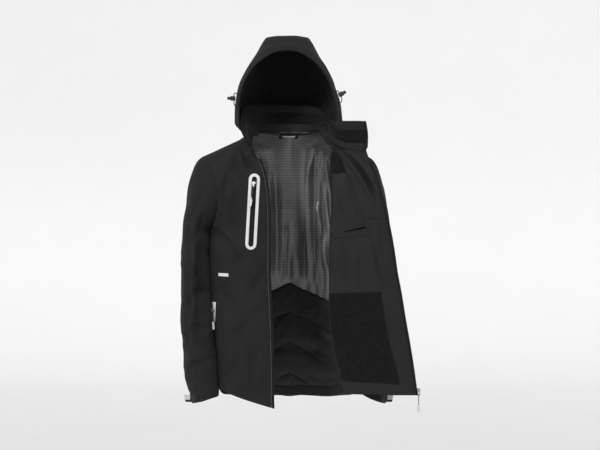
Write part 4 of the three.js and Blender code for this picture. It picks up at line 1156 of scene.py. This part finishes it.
# %% Woven grain
def build_weave():
    """Rounded threads that cross each other. Height is in units of one thread."""
    inputs = [("Threads", 900.0), ("Unevenness", 0.4)]
    tree, given, made = new_group("Woven Grain", inputs, ["Height", "Tone"])
    uv, u, v = cloth_map(tree)
    turn = calc(tree, "MULTIPLY", given.outputs["Threads"], 2 * math.pi)
    across = calc(tree, "SINE", calc(tree, "MULTIPLY", u, turn))
    along = calc(tree, "SINE", calc(tree, "MULTIPLY", v, turn))
    crossing = calc(tree, "MULTIPLY", across, along)
    rough = noise(tree, uv, calc(tree, "MULTIPLY", given.outputs["Threads"], 0.35), 3.0)
    uneven = calc(tree, "MULTIPLY", calc(tree, "SUBTRACT", rough, 0.5), given.outputs["Unevenness"])
    height = calc(tree, "ADD", calc(tree, "MULTIPLY", crossing, 0.5), uneven)
    tree.links.new(height, made.inputs["Height"])
    tree.links.new(remap(tree, height, -0.7, 0.7), made.inputs["Tone"])
    return tree


woven_grain = build_weave()
print("shared effect:", woven_grain.name)

# %% [markdown]
# The second is the cloudy unevenness that any worn surface has. Cloth, trims and the floor use it, each at
# its own size.


# %% Uneven tone
def build_tone():
    """Slow, cloudy difference in tone, as cloth has from wear and the lie of its pile."""
    tree, given, made = new_group("Uneven Tone", [("Size", 0.09)], ["Tone"])
    where, _, _, _ = place(tree)
    scale = calc(tree, "DIVIDE", 1.0, given.outputs["Size"])
    slow = noise(tree, where, scale, 2.0)
    quick = noise(tree, where, calc(tree, "MULTIPLY", scale, 6.0), 4.0)
    both = calc(tree, "ADD", calc(tree, "MULTIPLY", slow, 0.7), calc(tree, "MULTIPLY", quick, 0.3))
    tree.links.new(remap(tree, both, 0.3, 0.7), made.inputs["Tone"])
    return tree


uneven_tone = build_tone()
print("shared effect:", uneven_tone.name)

# %% [markdown]
# The third is the sewn edge. It reads the distance from the border that each sheet carries, so the roll and
# the row of stitches follow every seam, however it bends.


# %% Sewn edge
def build_edge():
    """The turned-in edge of a sewn piece: a soft roll, a sunk row and the stitches that lie in it."""
    tree, given, made = new_group(
        "Sewn Edge", [("Row", 0.004), ("Stitch", 0.0034), ("Roll", 0.003)], ["Height", "Stitches"]
    )
    attribute = tree.nodes.new("ShaderNodeAttribute")
    attribute.attribute_name = "seam"
    far = attribute.outputs["Fac"]
    _, u, v = cloth_map(tree)
    roll = remap(tree, calc(tree, "DIVIDE", far, given.outputs["Roll"]), 0.0, 1.0)
    off_row = calc(tree, "ABSOLUTE", calc(tree, "SUBTRACT", far, given.outputs["Row"]))
    groove = remap(tree, off_row, 0.0002, 0.0014, 1.0, 0.0)
    line = remap(tree, off_row, 0.0002, 0.00045, 1.0, 0.0)
    along = calc(tree, "FRACT", calc(tree, "DIVIDE", calc(tree, "ADD", u, v), given.outputs["Stitch"]))
    dash = remap(tree, calc(tree, "ABSOLUTE", calc(tree, "SUBTRACT", along, 0.5)), 0.32, 0.4, 1.0, 0.0)
    stitches = calc(tree, "MULTIPLY", line, dash)
    height = calc(tree, "SUBTRACT", roll, calc(tree, "MULTIPLY", groove, 0.6))
    tree.links.new(calc(tree, "ADD", height, calc(tree, "MULTIPLY", stitches, 0.4)), made.inputs["Height"])
    tree.links.new(stitches, made.inputs["Stitches"])
    return tree


sewn_edge = build_edge()
print("shared effect:", sewn_edge.name)

# %% [markdown]
# A material is a Principled shader with its plain numbers on its own sockets, and patterns that feed its
# colour, roughness and bump.


# %% Helpers that build one material
def shade(name, roughness, specular=0.2, sheen=0.0, metallic=0.0):
    material = bpy.data.materials.new(name)
    material.use_nodes = True
    shader = material.node_tree.nodes["Principled BSDF"]
    shader.inputs["Roughness"].default_value = roughness
    shader.inputs["Specular IOR Level"].default_value = specular
    shader.inputs["Sheen Weight"].default_value = sheen
    shader.inputs["Metallic"].default_value = metallic
    return material, material.node_tree, shader


def use_group(tree, group, **values):
    node = tree.nodes.new("ShaderNodeGroup")
    node.node_tree = group
    for label, value in values.items():
        feed(tree, node.inputs[label], value)
    return node


def blend(tree, share, low, high):
    node = tree.nodes.new("ShaderNodeMix")
    node.data_type = "RGBA"
    feed(tree, node.inputs["Factor"], share)
    for socket, value in ((node.inputs["A"], low), (node.inputs["B"], high)):
        if not isinstance(value, bpy.types.NodeSocket):
            value = (*value, 1)
        feed(tree, socket, value)
    return node.outputs["Result"]


def bump(tree, shader, height, distance):
    node = tree.nodes.new("ShaderNodeBump")
    node.inputs["Distance"].default_value = distance
    tree.links.new(height, node.inputs["Height"])
    tree.links.new(node.outputs["Normal"], shader.inputs["Normal"])


def cloth_material(name, dark, light, threads, grain, row, roughness, specular, sheen=0.0, stitch_light=2.2):
    """A woven cloth. grain is the share of the bump that the threads take, row the stitches' place in mm."""
    material, tree, shader = shade(name, roughness, specular, sheen)
    weave = use_group(tree, woven_grain, Threads=float(threads))
    tone = use_group(tree, uneven_tone)
    edge = use_group(tree, sewn_edge, Row=row * MM, Roll=row * MM * 0.8)
    mixed = calc(
        tree, "ADD", calc(tree, "MULTIPLY", tone.outputs["Tone"], 0.65),
        calc(tree, "MULTIPLY", weave.outputs["Tone"], 0.35),
    )
    colour = blend(tree, mixed, dark, light)
    thread = tuple(value * stitch_light for value in light)
    colour = blend(tree, calc(tree, "MULTIPLY", edge.outputs["Stitches"], 0.7), colour, thread)
    tree.links.new(colour, shader.inputs["Base Color"])
    height = calc(tree, "ADD", calc(tree, "MULTIPLY", weave.outputs["Height"], grain), edge.outputs["Height"])
    bump(tree, shader, height, 0.9 * MM)
    return material


print("material helpers are ready")

# %% [markdown]
# Softshell is a dense, matt weave. The facing is smoother and a little lighter, and the zip tape coarser and
# darker. They are one recipe with different numbers.

# %% Softshell, facing and zip tape
softshell = cloth_material("Softshell", (0.0125,) * 3, (0.0195, 0.0195, 0.019), 900, 0.16, 4.0, 0.78, 0.2)
facing = cloth_material("Facing", (0.014,) * 3, (0.021,) * 3, 1100, 0.12, 3.0, 0.7, 0.22)
zip_tape = cloth_material("Zip tape", (0.009,) * 3, (0.014,) * 3, 700, 0.3, 1.6, 0.75, 0.2)
print("cloths:", softshell.name, facing.name, zip_tape.name)

# %% [markdown]
# Fleece is a short brushed pile. Hair would be far too much for a lining, so two sizes of noise stand for
# tufts and clumps. In the hood little light reaches the pile, and a lighter one reads as the same cloth.


# %% Fleece
def fleece_material(name, dark, light):
    """Short brushed pile: clumps of a few millimetres in the bump, and a sheen at grazing angles."""
    material, tree, shader = shade(name, 1.0, 0.08, 0.08)
    shader.inputs["Sheen Roughness"].default_value = 0.6
    where, _, _, _ = place(tree)
    tufts = noise(tree, where, 520.0, 5.0)
    clumps = noise(tree, where, 120.0, 3.0)
    edge = use_group(tree, sewn_edge, Row=3 * MM, Roll=4 * MM)
    pile = calc(tree, "ADD", calc(tree, "MULTIPLY", tufts, 0.6), calc(tree, "MULTIPLY", clumps, 0.9))
    colour = blend(tree, remap(tree, pile, 0.45, 1.05), (dark,) * 3, (light,) * 3)
    tree.links.new(colour, shader.inputs["Base Color"])
    bump(tree, shader, calc(tree, "ADD", pile, edge.outputs["Height"]), 1.1 * MM)
    return material


fleece = fleece_material("Fleece", 0.0045, 0.0105)
# Painted light: the hood's fleece is a lighter copy of the same cloth, to make up for the shade inside the
# hood.
hood_fleece_painted_lighter = fleece_material("Hood fleece painted lighter", 0.009, 0.02)
print("piles:", fleece.name, hood_fleece_painted_lighter.name)

# %% [markdown]
# The mesh is knitted of bright thread, with small holes in staggered rows. The holes are far too many to cut,
# so a map in metres places them, and each darkens the colour and dips the bump.


# %% Mesh lining
def mesh_material():
    """Silver-grey knitted mesh: rows of small holes between bright threads."""
    material, tree, shader = shade("Mesh lining", 0.38, 0.6, 0.0, 0.55)
    _, u, v = cloth_map(tree)
    pitch = 5.2 * MM
    row_pitch = 4.5 * MM
    across = calc(tree, "DIVIDE", u, pitch)
    along = calc(tree, "DIVIDE", v, row_pitch)
    shift = calc(tree, "MULTIPLY", calc(tree, "FLOOR", along), 0.5)
    dx = calc(tree, "SUBTRACT", calc(tree, "FRACT", calc(tree, "ADD", across, shift)), 0.5)
    dz = calc(tree, "SUBTRACT", calc(tree, "FRACT", along), 0.5)
    squares = calc(tree, "ADD", calc(tree, "MULTIPLY", dx, dx), calc(tree, "MULTIPLY", dz, dz))
    reach = calc(tree, "SQRT", squares)
    hole = remap(tree, reach, 0.22, 0.38, 1.0, 0.0)
    tone = use_group(tree, uneven_tone)
    thread = blend(tree, tone.outputs["Tone"], (0.25, 0.25, 0.245), (0.34, 0.34, 0.332))
    tree.links.new(blend(tree, hole, thread, (0.02,) * 3), shader.inputs["Base Color"])
    tree.links.new(remap(tree, hole, 0.0, 1.0, 0.36, 0.8), shader.inputs["Roughness"])
    bump(tree, shader, calc(tree, "SUBTRACT", 1.0, hole), 0.4 * MM)
    return material


mesh_lining = mesh_material()
print("mesh:", mesh_lining.name)

# %% [markdown]
# Quilted taffeta has a little gloss. The rows were stored on the sheet when it was shaped, so the painted
# shade in each valley and the stitches in it need only that distance.


# %% Quilted lining
def quilted_material():
    """Black taffeta, a little glossy; stitches and the painted valley shade follow the stored row distance.
    """
    material, tree, shader = shade("Quilted lining", 0.5, 0.3)
    _, x, _, _ = place(tree)
    attribute = tree.nodes.new("ShaderNodeAttribute")
    attribute.attribute_name = "row"
    off_line = attribute.outputs["Fac"]
    line = remap(tree, off_line, 0.3 * MM, 0.9 * MM, 1.0, 0.0)
    side = calc(tree, "ABSOLUTE", calc(tree, "SUBTRACT", x, quilt_apex_x * MM))
    dash = remap(tree, calc(tree, "PINGPONG", side, 1.7 * MM), 0.4 * MM, 0.7 * MM)
    stitches = calc(tree, "MULTIPLY", line, dash)
    # Painted shade: sunk masks the valley along each row, and the colour below darkens there to near black.
    sunk = remap(tree, off_line, 0.8 * MM, 3.4 * MM, 1.0, 0.0)
    weave = use_group(tree, woven_grain, Threads=1500.0)
    tone = use_group(tree, uneven_tone)
    colour = blend(tree, tone.outputs["Tone"], (0.008, 0.0085, 0.008), (0.013, 0.0135, 0.013))
    colour = blend(tree, calc(tree, "MULTIPLY", sunk, 0.85), colour, (0.002,) * 3)
    colour = blend(tree, calc(tree, "MULTIPLY", stitches, 0.3), colour, (0.02,) * 3)
    tree.links.new(colour, shader.inputs["Base Color"])
    rows = remap(tree, off_line, 0.0, 3.0 * MM)
    height = calc(tree, "ADD", calc(tree, "MULTIPLY", weave.outputs["Height"], 0.08), rows)
    bump(tree, shader, height, 1.0 * MM)
    return material


quilted = quilted_material()
print("quilted lining:", quilted.name)

# %% [markdown]
# The trims are few: light reflective tape, satin steel sliders, silver and dark teeth, and dark plastic.
# They get a fine uneven roughness, so that no trim shines like a mirror. The mouth of the inner pocket is a
# painted shadow: the darkest colour, with no shine.


# %% Trim materials
def trim_material(name, dark, light, rough_low, rough_high, specular=0.5, metallic=0.0, size=0.02):
    """A smooth hard finish. size is that of its faint clouds, in metres."""
    material, tree, shader = shade(name, rough_low, specular, metallic=metallic)
    tone = use_group(tree, uneven_tone, Size=size)
    tree.links.new(blend(tree, tone.outputs["Tone"], dark, light), shader.inputs["Base Color"])
    roughness = remap(tree, tone.outputs["Tone"], 0.0, 1.0, rough_low, rough_high)
    tree.links.new(roughness, shader.inputs["Roughness"])
    bump(tree, shader, tone.outputs["Tone"], 0.04 * MM)
    return material


reflective = trim_material("Reflective tape", (0.74, 0.74, 0.74), (0.82, 0.82, 0.82), 0.3, 0.45)
steel = trim_material(
    "Satin steel", (0.5, 0.5, 0.51), (0.62, 0.62, 0.63), 0.28, 0.4, metallic=1.0, size=0.006,
)
silver_teeth = trim_material("Silver teeth", (0.16,) * 3, (0.22,) * 3, 0.35, 0.45, metallic=0.3, size=0.01)
dark_teeth = trim_material("Dark teeth", (0.02,) * 3, (0.03,) * 3, 0.35, 0.5, size=0.01)
dark_plastic = trim_material("Dark plastic", (0.014,) * 3, (0.02,) * 3, 0.35, 0.5, size=0.008)
# Painted shadow: a near-black, matt finish for the sheet that stands for the shade in the pocket's mouth.
pocket_shadow = trim_material("Pocket mouth painted shadow", (0.002,) * 3, (0.004,) * 3, 0.9, 1.0, specular=0.0)
print("trims:", reflective.name, steel.name, silver_teeth.name, dark_teeth.name, dark_plastic.name)

# %% [markdown]
# The neck label and the cuff tabs are black cloth with one plain light field, placed by a box on the front
# view.


# %% Patches
def patch_material(name, box, light, threads):
    """Black cloth with one light bar or patch inside a box given in mm on the front view."""
    material, tree, shader = shade(name, 0.6, 0.3)
    _, x, _, z = place(tree)
    inside = 1.0
    for along, (low, high) in ((x, box[0]), (z, box[1])):
        middle = (low + high) / 2 * MM
        half = (high - low) / 2 * MM
        off = calc(tree, "ABSOLUTE", calc(tree, "SUBTRACT", along, middle))
        inside = calc(tree, "MULTIPLY", inside, remap(tree, off, half - 0.3 * MM, half + 0.2 * MM, 1.0, 0.0))
    weave = use_group(tree, woven_grain, Threads=float(threads))
    black = blend(tree, weave.outputs["Tone"], (0.01,) * 3, (0.018,) * 3)
    tree.links.new(blend(tree, inside, black, light), shader.inputs["Base Color"])
    height = calc(tree, "ADD", calc(tree, "MULTIPLY", weave.outputs["Height"], 0.3), inside)
    bump(tree, shader, height, 0.25 * MM)
    return material


neck_label = patch_material("Neck label", ((-19, 17), (6.5, 10.5)), (0.62,) * 3, 1500)
right_tab = patch_material("Right cuff tab", ((-330, -274), (-729, -716)), (0.6,) * 3, 900)
left_tab = patch_material("Left cuff tab", ((274, 330), (-729, -716)), (0.6,) * 3, 900)
print("patches:", neck_label.name, right_tab.name, left_tab.name)

# %% [markdown]
# The hood cord is a round braid of slanted threads, and the pulls are a dark cord loop with a light moulded
# grip. A pull is one solid, so its material changes at the height where the grip begins.


# %% Cord, pulls and floor
def cord_material():
    """Round braid: slanted threads wind around the cord."""
    material, tree, shader = shade("Braided cord", 0.7, 0.2)
    _, x, y, z = place(tree)
    across = calc(tree, "MULTIPLY", calc(tree, "ADD", x, y), 2200.0)
    ribs = calc(tree, "SINE", calc(tree, "ADD", calc(tree, "MULTIPLY", z, 2600.0), across))
    colour = blend(tree, remap(tree, ribs, -1.0, 1.0), (0.01,) * 3, (0.024,) * 3)
    tree.links.new(colour, shader.inputs["Base Color"])
    bump(tree, shader, ribs, 0.15 * MM)
    return material


def backdrop_material():
    """Pale painted floor with a hardly visible mottle. From outside, its wall lets light and eye through."""
    material, tree, shader = shade("Pale studio floor", 0.9, 0.1)
    side = tree.nodes.new("ShaderNodeNewGeometry")
    feed(tree, shader.inputs["Alpha"], calc(tree, "SUBTRACT", 1.0, side.outputs["Backfacing"]))
    tone = use_group(tree, uneven_tone, Size=1.5)
    tree.links.new(blend(tree, tone.outputs["Tone"], (0.87,) * 3, (0.89,) * 3), shader.inputs["Base Color"])
    return material


def pull_material(name, grip_top):
    """A dark cord loop that ends in a light moulded grip below grip_top, a height in mm."""
    material, tree, shader = shade(name, 0.45, 0.4)
    _, _, _, z = place(tree)
    tone = use_group(tree, uneven_tone, Size=0.008)
    light = blend(tree, tone.outputs["Tone"], (0.66,) * 3, (0.74,) * 3)
    is_loop = remap(tree, z, (grip_top - 0.4) * MM, (grip_top + 0.4) * MM)
    tree.links.new(blend(tree, is_loop, light, (0.03,) * 3), shader.inputs["Base Color"])
    bump(tree, shader, tone.outputs["Tone"], 0.05 * MM)
    return material


braid = cord_material()
grip_tops = {"Main": -735, "Chest": -168, "Right_Hand": -509, "Left_Hand": -509}
pulls = {}
for zip_name, grip_top in grip_tops.items():
    pulls[zip_name] = pull_material(zip_name.replace("_", " ").capitalize() + " pull", grip_top)
print("cord:", braid.name, "pulls:", [material.name for material in pulls.values()])

# %% [markdown]
# Cloth takes the material of its slot, apart from the few pieces that have their own. The CAD nodes keep
# their meshes and only get a material.

# %% Give each piece its material
slot_materials = {
    "softshell": softshell, "facing": facing, "zip_tape": zip_tape, "fleece": fleece,
    "mesh_lining": mesh_lining, "quilted_lining": quilted,
}
cad_materials = {"Chest_Pocket_Frame": reflective}
for zip_name, material in pulls.items():
    cad_materials[zip_name + "_Slider"] = steel
    cad_materials[zip_name + "_Pull"] = material
for side in cord_routes:
    cad_materials[side + "_Cord_Lock_Barrel"] = dark_plastic
    cad_materials[side + "_Cord_Lock_Plunger"] = dark_plastic
own_materials = {
    "Hood_Right_Lining": hood_fleece_painted_lighter, "Hood_Left_Lining": hood_fleece_painted_lighter,
    "Neck_Label": neck_label, "Right_Cuff_Tab": right_tab, "Left_Cuff_Tab": left_tab,
}


def paint(piece, material):
    piece.data.materials.clear()
    piece.data.materials.append(material)


for node, piece in cloth_pieces.items():
    paint(piece, own_materials.get(node) or slot_materials[piece["slot"]])
for cord in cords.values():
    paint(cord, braid)
for node, material in cad_materials.items():
    paint(nodes[node], material)
paint(backdrop, backdrop_material())
print("materials are given to", len(cloth_pieces) + len(cords) + len(cad_materials), "pieces and the floor")

# %% [markdown]
# ## Zip teeth and light trims
# Moulded teeth sit on the free edge of each half of the main zip, and fine ones down the middle of a closed
# zip. Both paths are read from the borders that were kept when the tapes were made.

# %% Paths for the teeth
end_gap = 6 * MM
line_steps = 60


def free_side(node):
    """The long side of a tape that has the larger X, from top to bottom."""
    row = borders[node]
    top = int(np.argmax(row[:, 2]))
    row = np.roll(row, -top, axis=0)
    low = int(np.argmin(row[:, 2]))
    first = row[: low + 1]
    second = row[low:][::-1]
    return first if first[:, 0].mean() > second[:, 0].mean() else second


def middle_line(node):
    """A line down the middle of a narrow zip."""
    row = borders[node]
    top = int(np.argmax(row[:, 2]))
    row = np.roll(row, -top, axis=0)
    low = int(np.argmin(row[:, 2]))
    sides = [row[: low + 1], row[low:][::-1]]
    heights = np.linspace(row[:, 2].max() - end_gap, row[:, 2].min() + end_gap, line_steps)
    line = []
    for height in heights:
        ends = [side[np.argmin(np.abs(side[:, 2] - height))] for side in sides]
        line.append((ends[0] + ends[1]) / 2)
    return np.array(line)


def spaced(path, pitch):
    steps = np.linalg.norm(np.diff(path, axis=0), axis=1)
    walked = np.concatenate([[0], np.cumsum(steps)])
    at = np.arange(pitch / 2, walked[-1], pitch)
    return np.stack([np.interp(at, walked, path[:, k]) for k in range(3)], axis=1)


zip_run = free_side("Right_Zip_Tape")
print("main zip is", round(zip_run[0, 2] - zip_run[-1, 2], 3), "m tall")

# %% [markdown]
# One tooth is modelled from a cube with its edges rounded, and copied along the path, each copy with its own
# mesh. The row is then joined into one piece. A tooth has only a few faces, because there are hundreds.

# %% One row of teeth
far_from_border = 0.05


def row_of_teeth(name, path, pitch, size, material, shape=None, lift=0.0):
    """A row of teeth along a path. size is one tooth's width, depth and height in mm."""
    points = spaced(path, pitch)
    if shape:
        near = points / MM
        points = (near + shape(near, np.zeros_like(near), np.full(len(near), far_from_border))) * MM
    points[:, 1] -= lift
    only(backdrop)
    bpy.ops.mesh.primitive_cube_add(size=1)
    tooth = bpy.context.active_object
    tooth.name = name
    tooth.scale = [value * MM for value in size]
    bpy.ops.object.transform_apply(location=False, rotation=False, scale=True)
    rounding = tooth.modifiers.new("Rounding", "BEVEL")
    rounding.width = min(size) * MM * 0.3
    rounding.segments = 1
    bpy.ops.object.modifier_apply(modifier=rounding.name)
    copies = [tooth]
    for k, point in enumerate(points):
        item = tooth if k == 0 else tooth.copy()
        if k:
            item.data = tooth.data.copy()
            scene.collection.objects.link(item)
            copies.append(item)
        ahead = Vector(points[min(k + 1, len(points) - 1)] - points[max(k - 1, 0)])
        item.rotation_euler = ahead.to_track_quat("-Z", "Y").to_euler()
        item.location = point
    only(*copies)
    bpy.ops.object.join()
    bpy.ops.object.transform_apply(location=True, rotation=True, scale=True)
    bpy.ops.object.shade_flat()
    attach(tooth, "jacket")
    paint(tooth, material)
    print(name, "teeth", len(points))


# %% [markdown]
# The main zip has coarse moulded teeth. The closed chest and hand zips have a fine coil, shown as flat teeth
# that stand a little out of the tape.

# %% Main, chest and hand zip teeth
main_tooth = (2.0, 1.8, 1.6)
main_pitch = 2.8 * MM
fine_tooth = (3.2, 1.0, 0.9)
fine_pitch = 1.7 * MM
for side, shape in (("Right", None), ("Left", leaf_shape)):
    path = free_side(side + "_Zip_Tape")
    row_of_teeth(side + "_Main_Teeth", path, main_pitch, main_tooth, silver_teeth, shape)
for zip_name in ("Chest", "Right_Hand", "Left_Hand"):
    path = middle_line(zip_name + "_Zip")
    row_of_teeth(zip_name + "_Teeth", path, fine_pitch, fine_tooth, dark_teeth, lift=0.5 * MM)

# %% [markdown]
# Reflective bars are glued flat on the shell, and a near-black sheet paints the shadow in the mouth of the
# inner pocket. Each is a small grid that is projected on the cloth behind it, so that it follows the creases,
# and then gets a thin wall.


# %% Patches laid on the cloth
def lay_patch(name, corners, targets, material):
    """A thin patch with four corners given on the front view, top left first, then clockwise."""
    only(backdrop)
    bpy.ops.mesh.primitive_grid_add(x_subdivisions=12, y_subdivisions=12, size=2)
    patch = bpy.context.active_object
    patch.name = name
    (x0, z0), (x1, z1), (x2, z2), (x3, z3) = corners
    for vertex in patch.data.vertices:
        u = (vertex.co.x + 1) / 2
        v = (vertex.co.y + 1) / 2
        x = (1 - v) * (x3 + (x2 - x3) * u) + v * (x0 + (x1 - x0) * u)
        z = (1 - v) * (z3 + (z2 - z3) * u) + v * (z0 + (z1 - z0) * u)
        vertex.co = (x * MM, -200 * MM, z * MM)
    wrap = patch.modifiers.new("Lay", "SHRINKWRAP")
    wrap.wrap_method = "PROJECT"
    wrap.use_project_y = True
    wrap.use_positive_direction = True
    wrap.use_negative_direction = False
    wrap.target = cloth_pieces[targets[0]]
    wrap.auxiliary_target = cloth_pieces[targets[-1]]
    wrap.offset = 0.5 * MM
    bpy.ops.object.modifier_apply(modifier=wrap.name)
    thick = patch.modifiers.new("Thickness", "SOLIDIFY")
    thick.thickness = 0.4 * MM
    thick.offset = 0
    bpy.ops.object.modifier_apply(modifier=thick.name)
    bpy.ops.object.shade_smooth()
    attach(patch, "jacket")
    paint(patch, material)
    low, high = points_of(patch.data).min(0) / MM, points_of(patch.data).max(0) / MM
    print(name, "from", low.round(1), "to", high.round(1))


lay_patch(
    "Front_Light_Bar", [(-192, -375), (-163.5, -375.5), (-163.5, -384), (-192, -383.5)],
    ["Right_Front_Upper", "Right_Front_Lower"], reflective,
)
lay_patch(
    "Hand_Pocket_Light_Taper", [(-211, -456), (-200.5, -456), (-203, -511), (-206, -511)],
    ["Right_Front_Side", "Right_Hand_Zip"], reflective,
)
# Painted shadow: a near-black sheet over the pocket welt stands for the shade in its mouth.
lay_patch(
    "Inner_Pocket_Mouth_Painted_Shadow", [(150, -262), (206, -248.5), (208, -253.5), (150, -263.5)],
    ["Left_Inner_Panel", "Left_Pocket_Welt"], pocket_shadow,
)
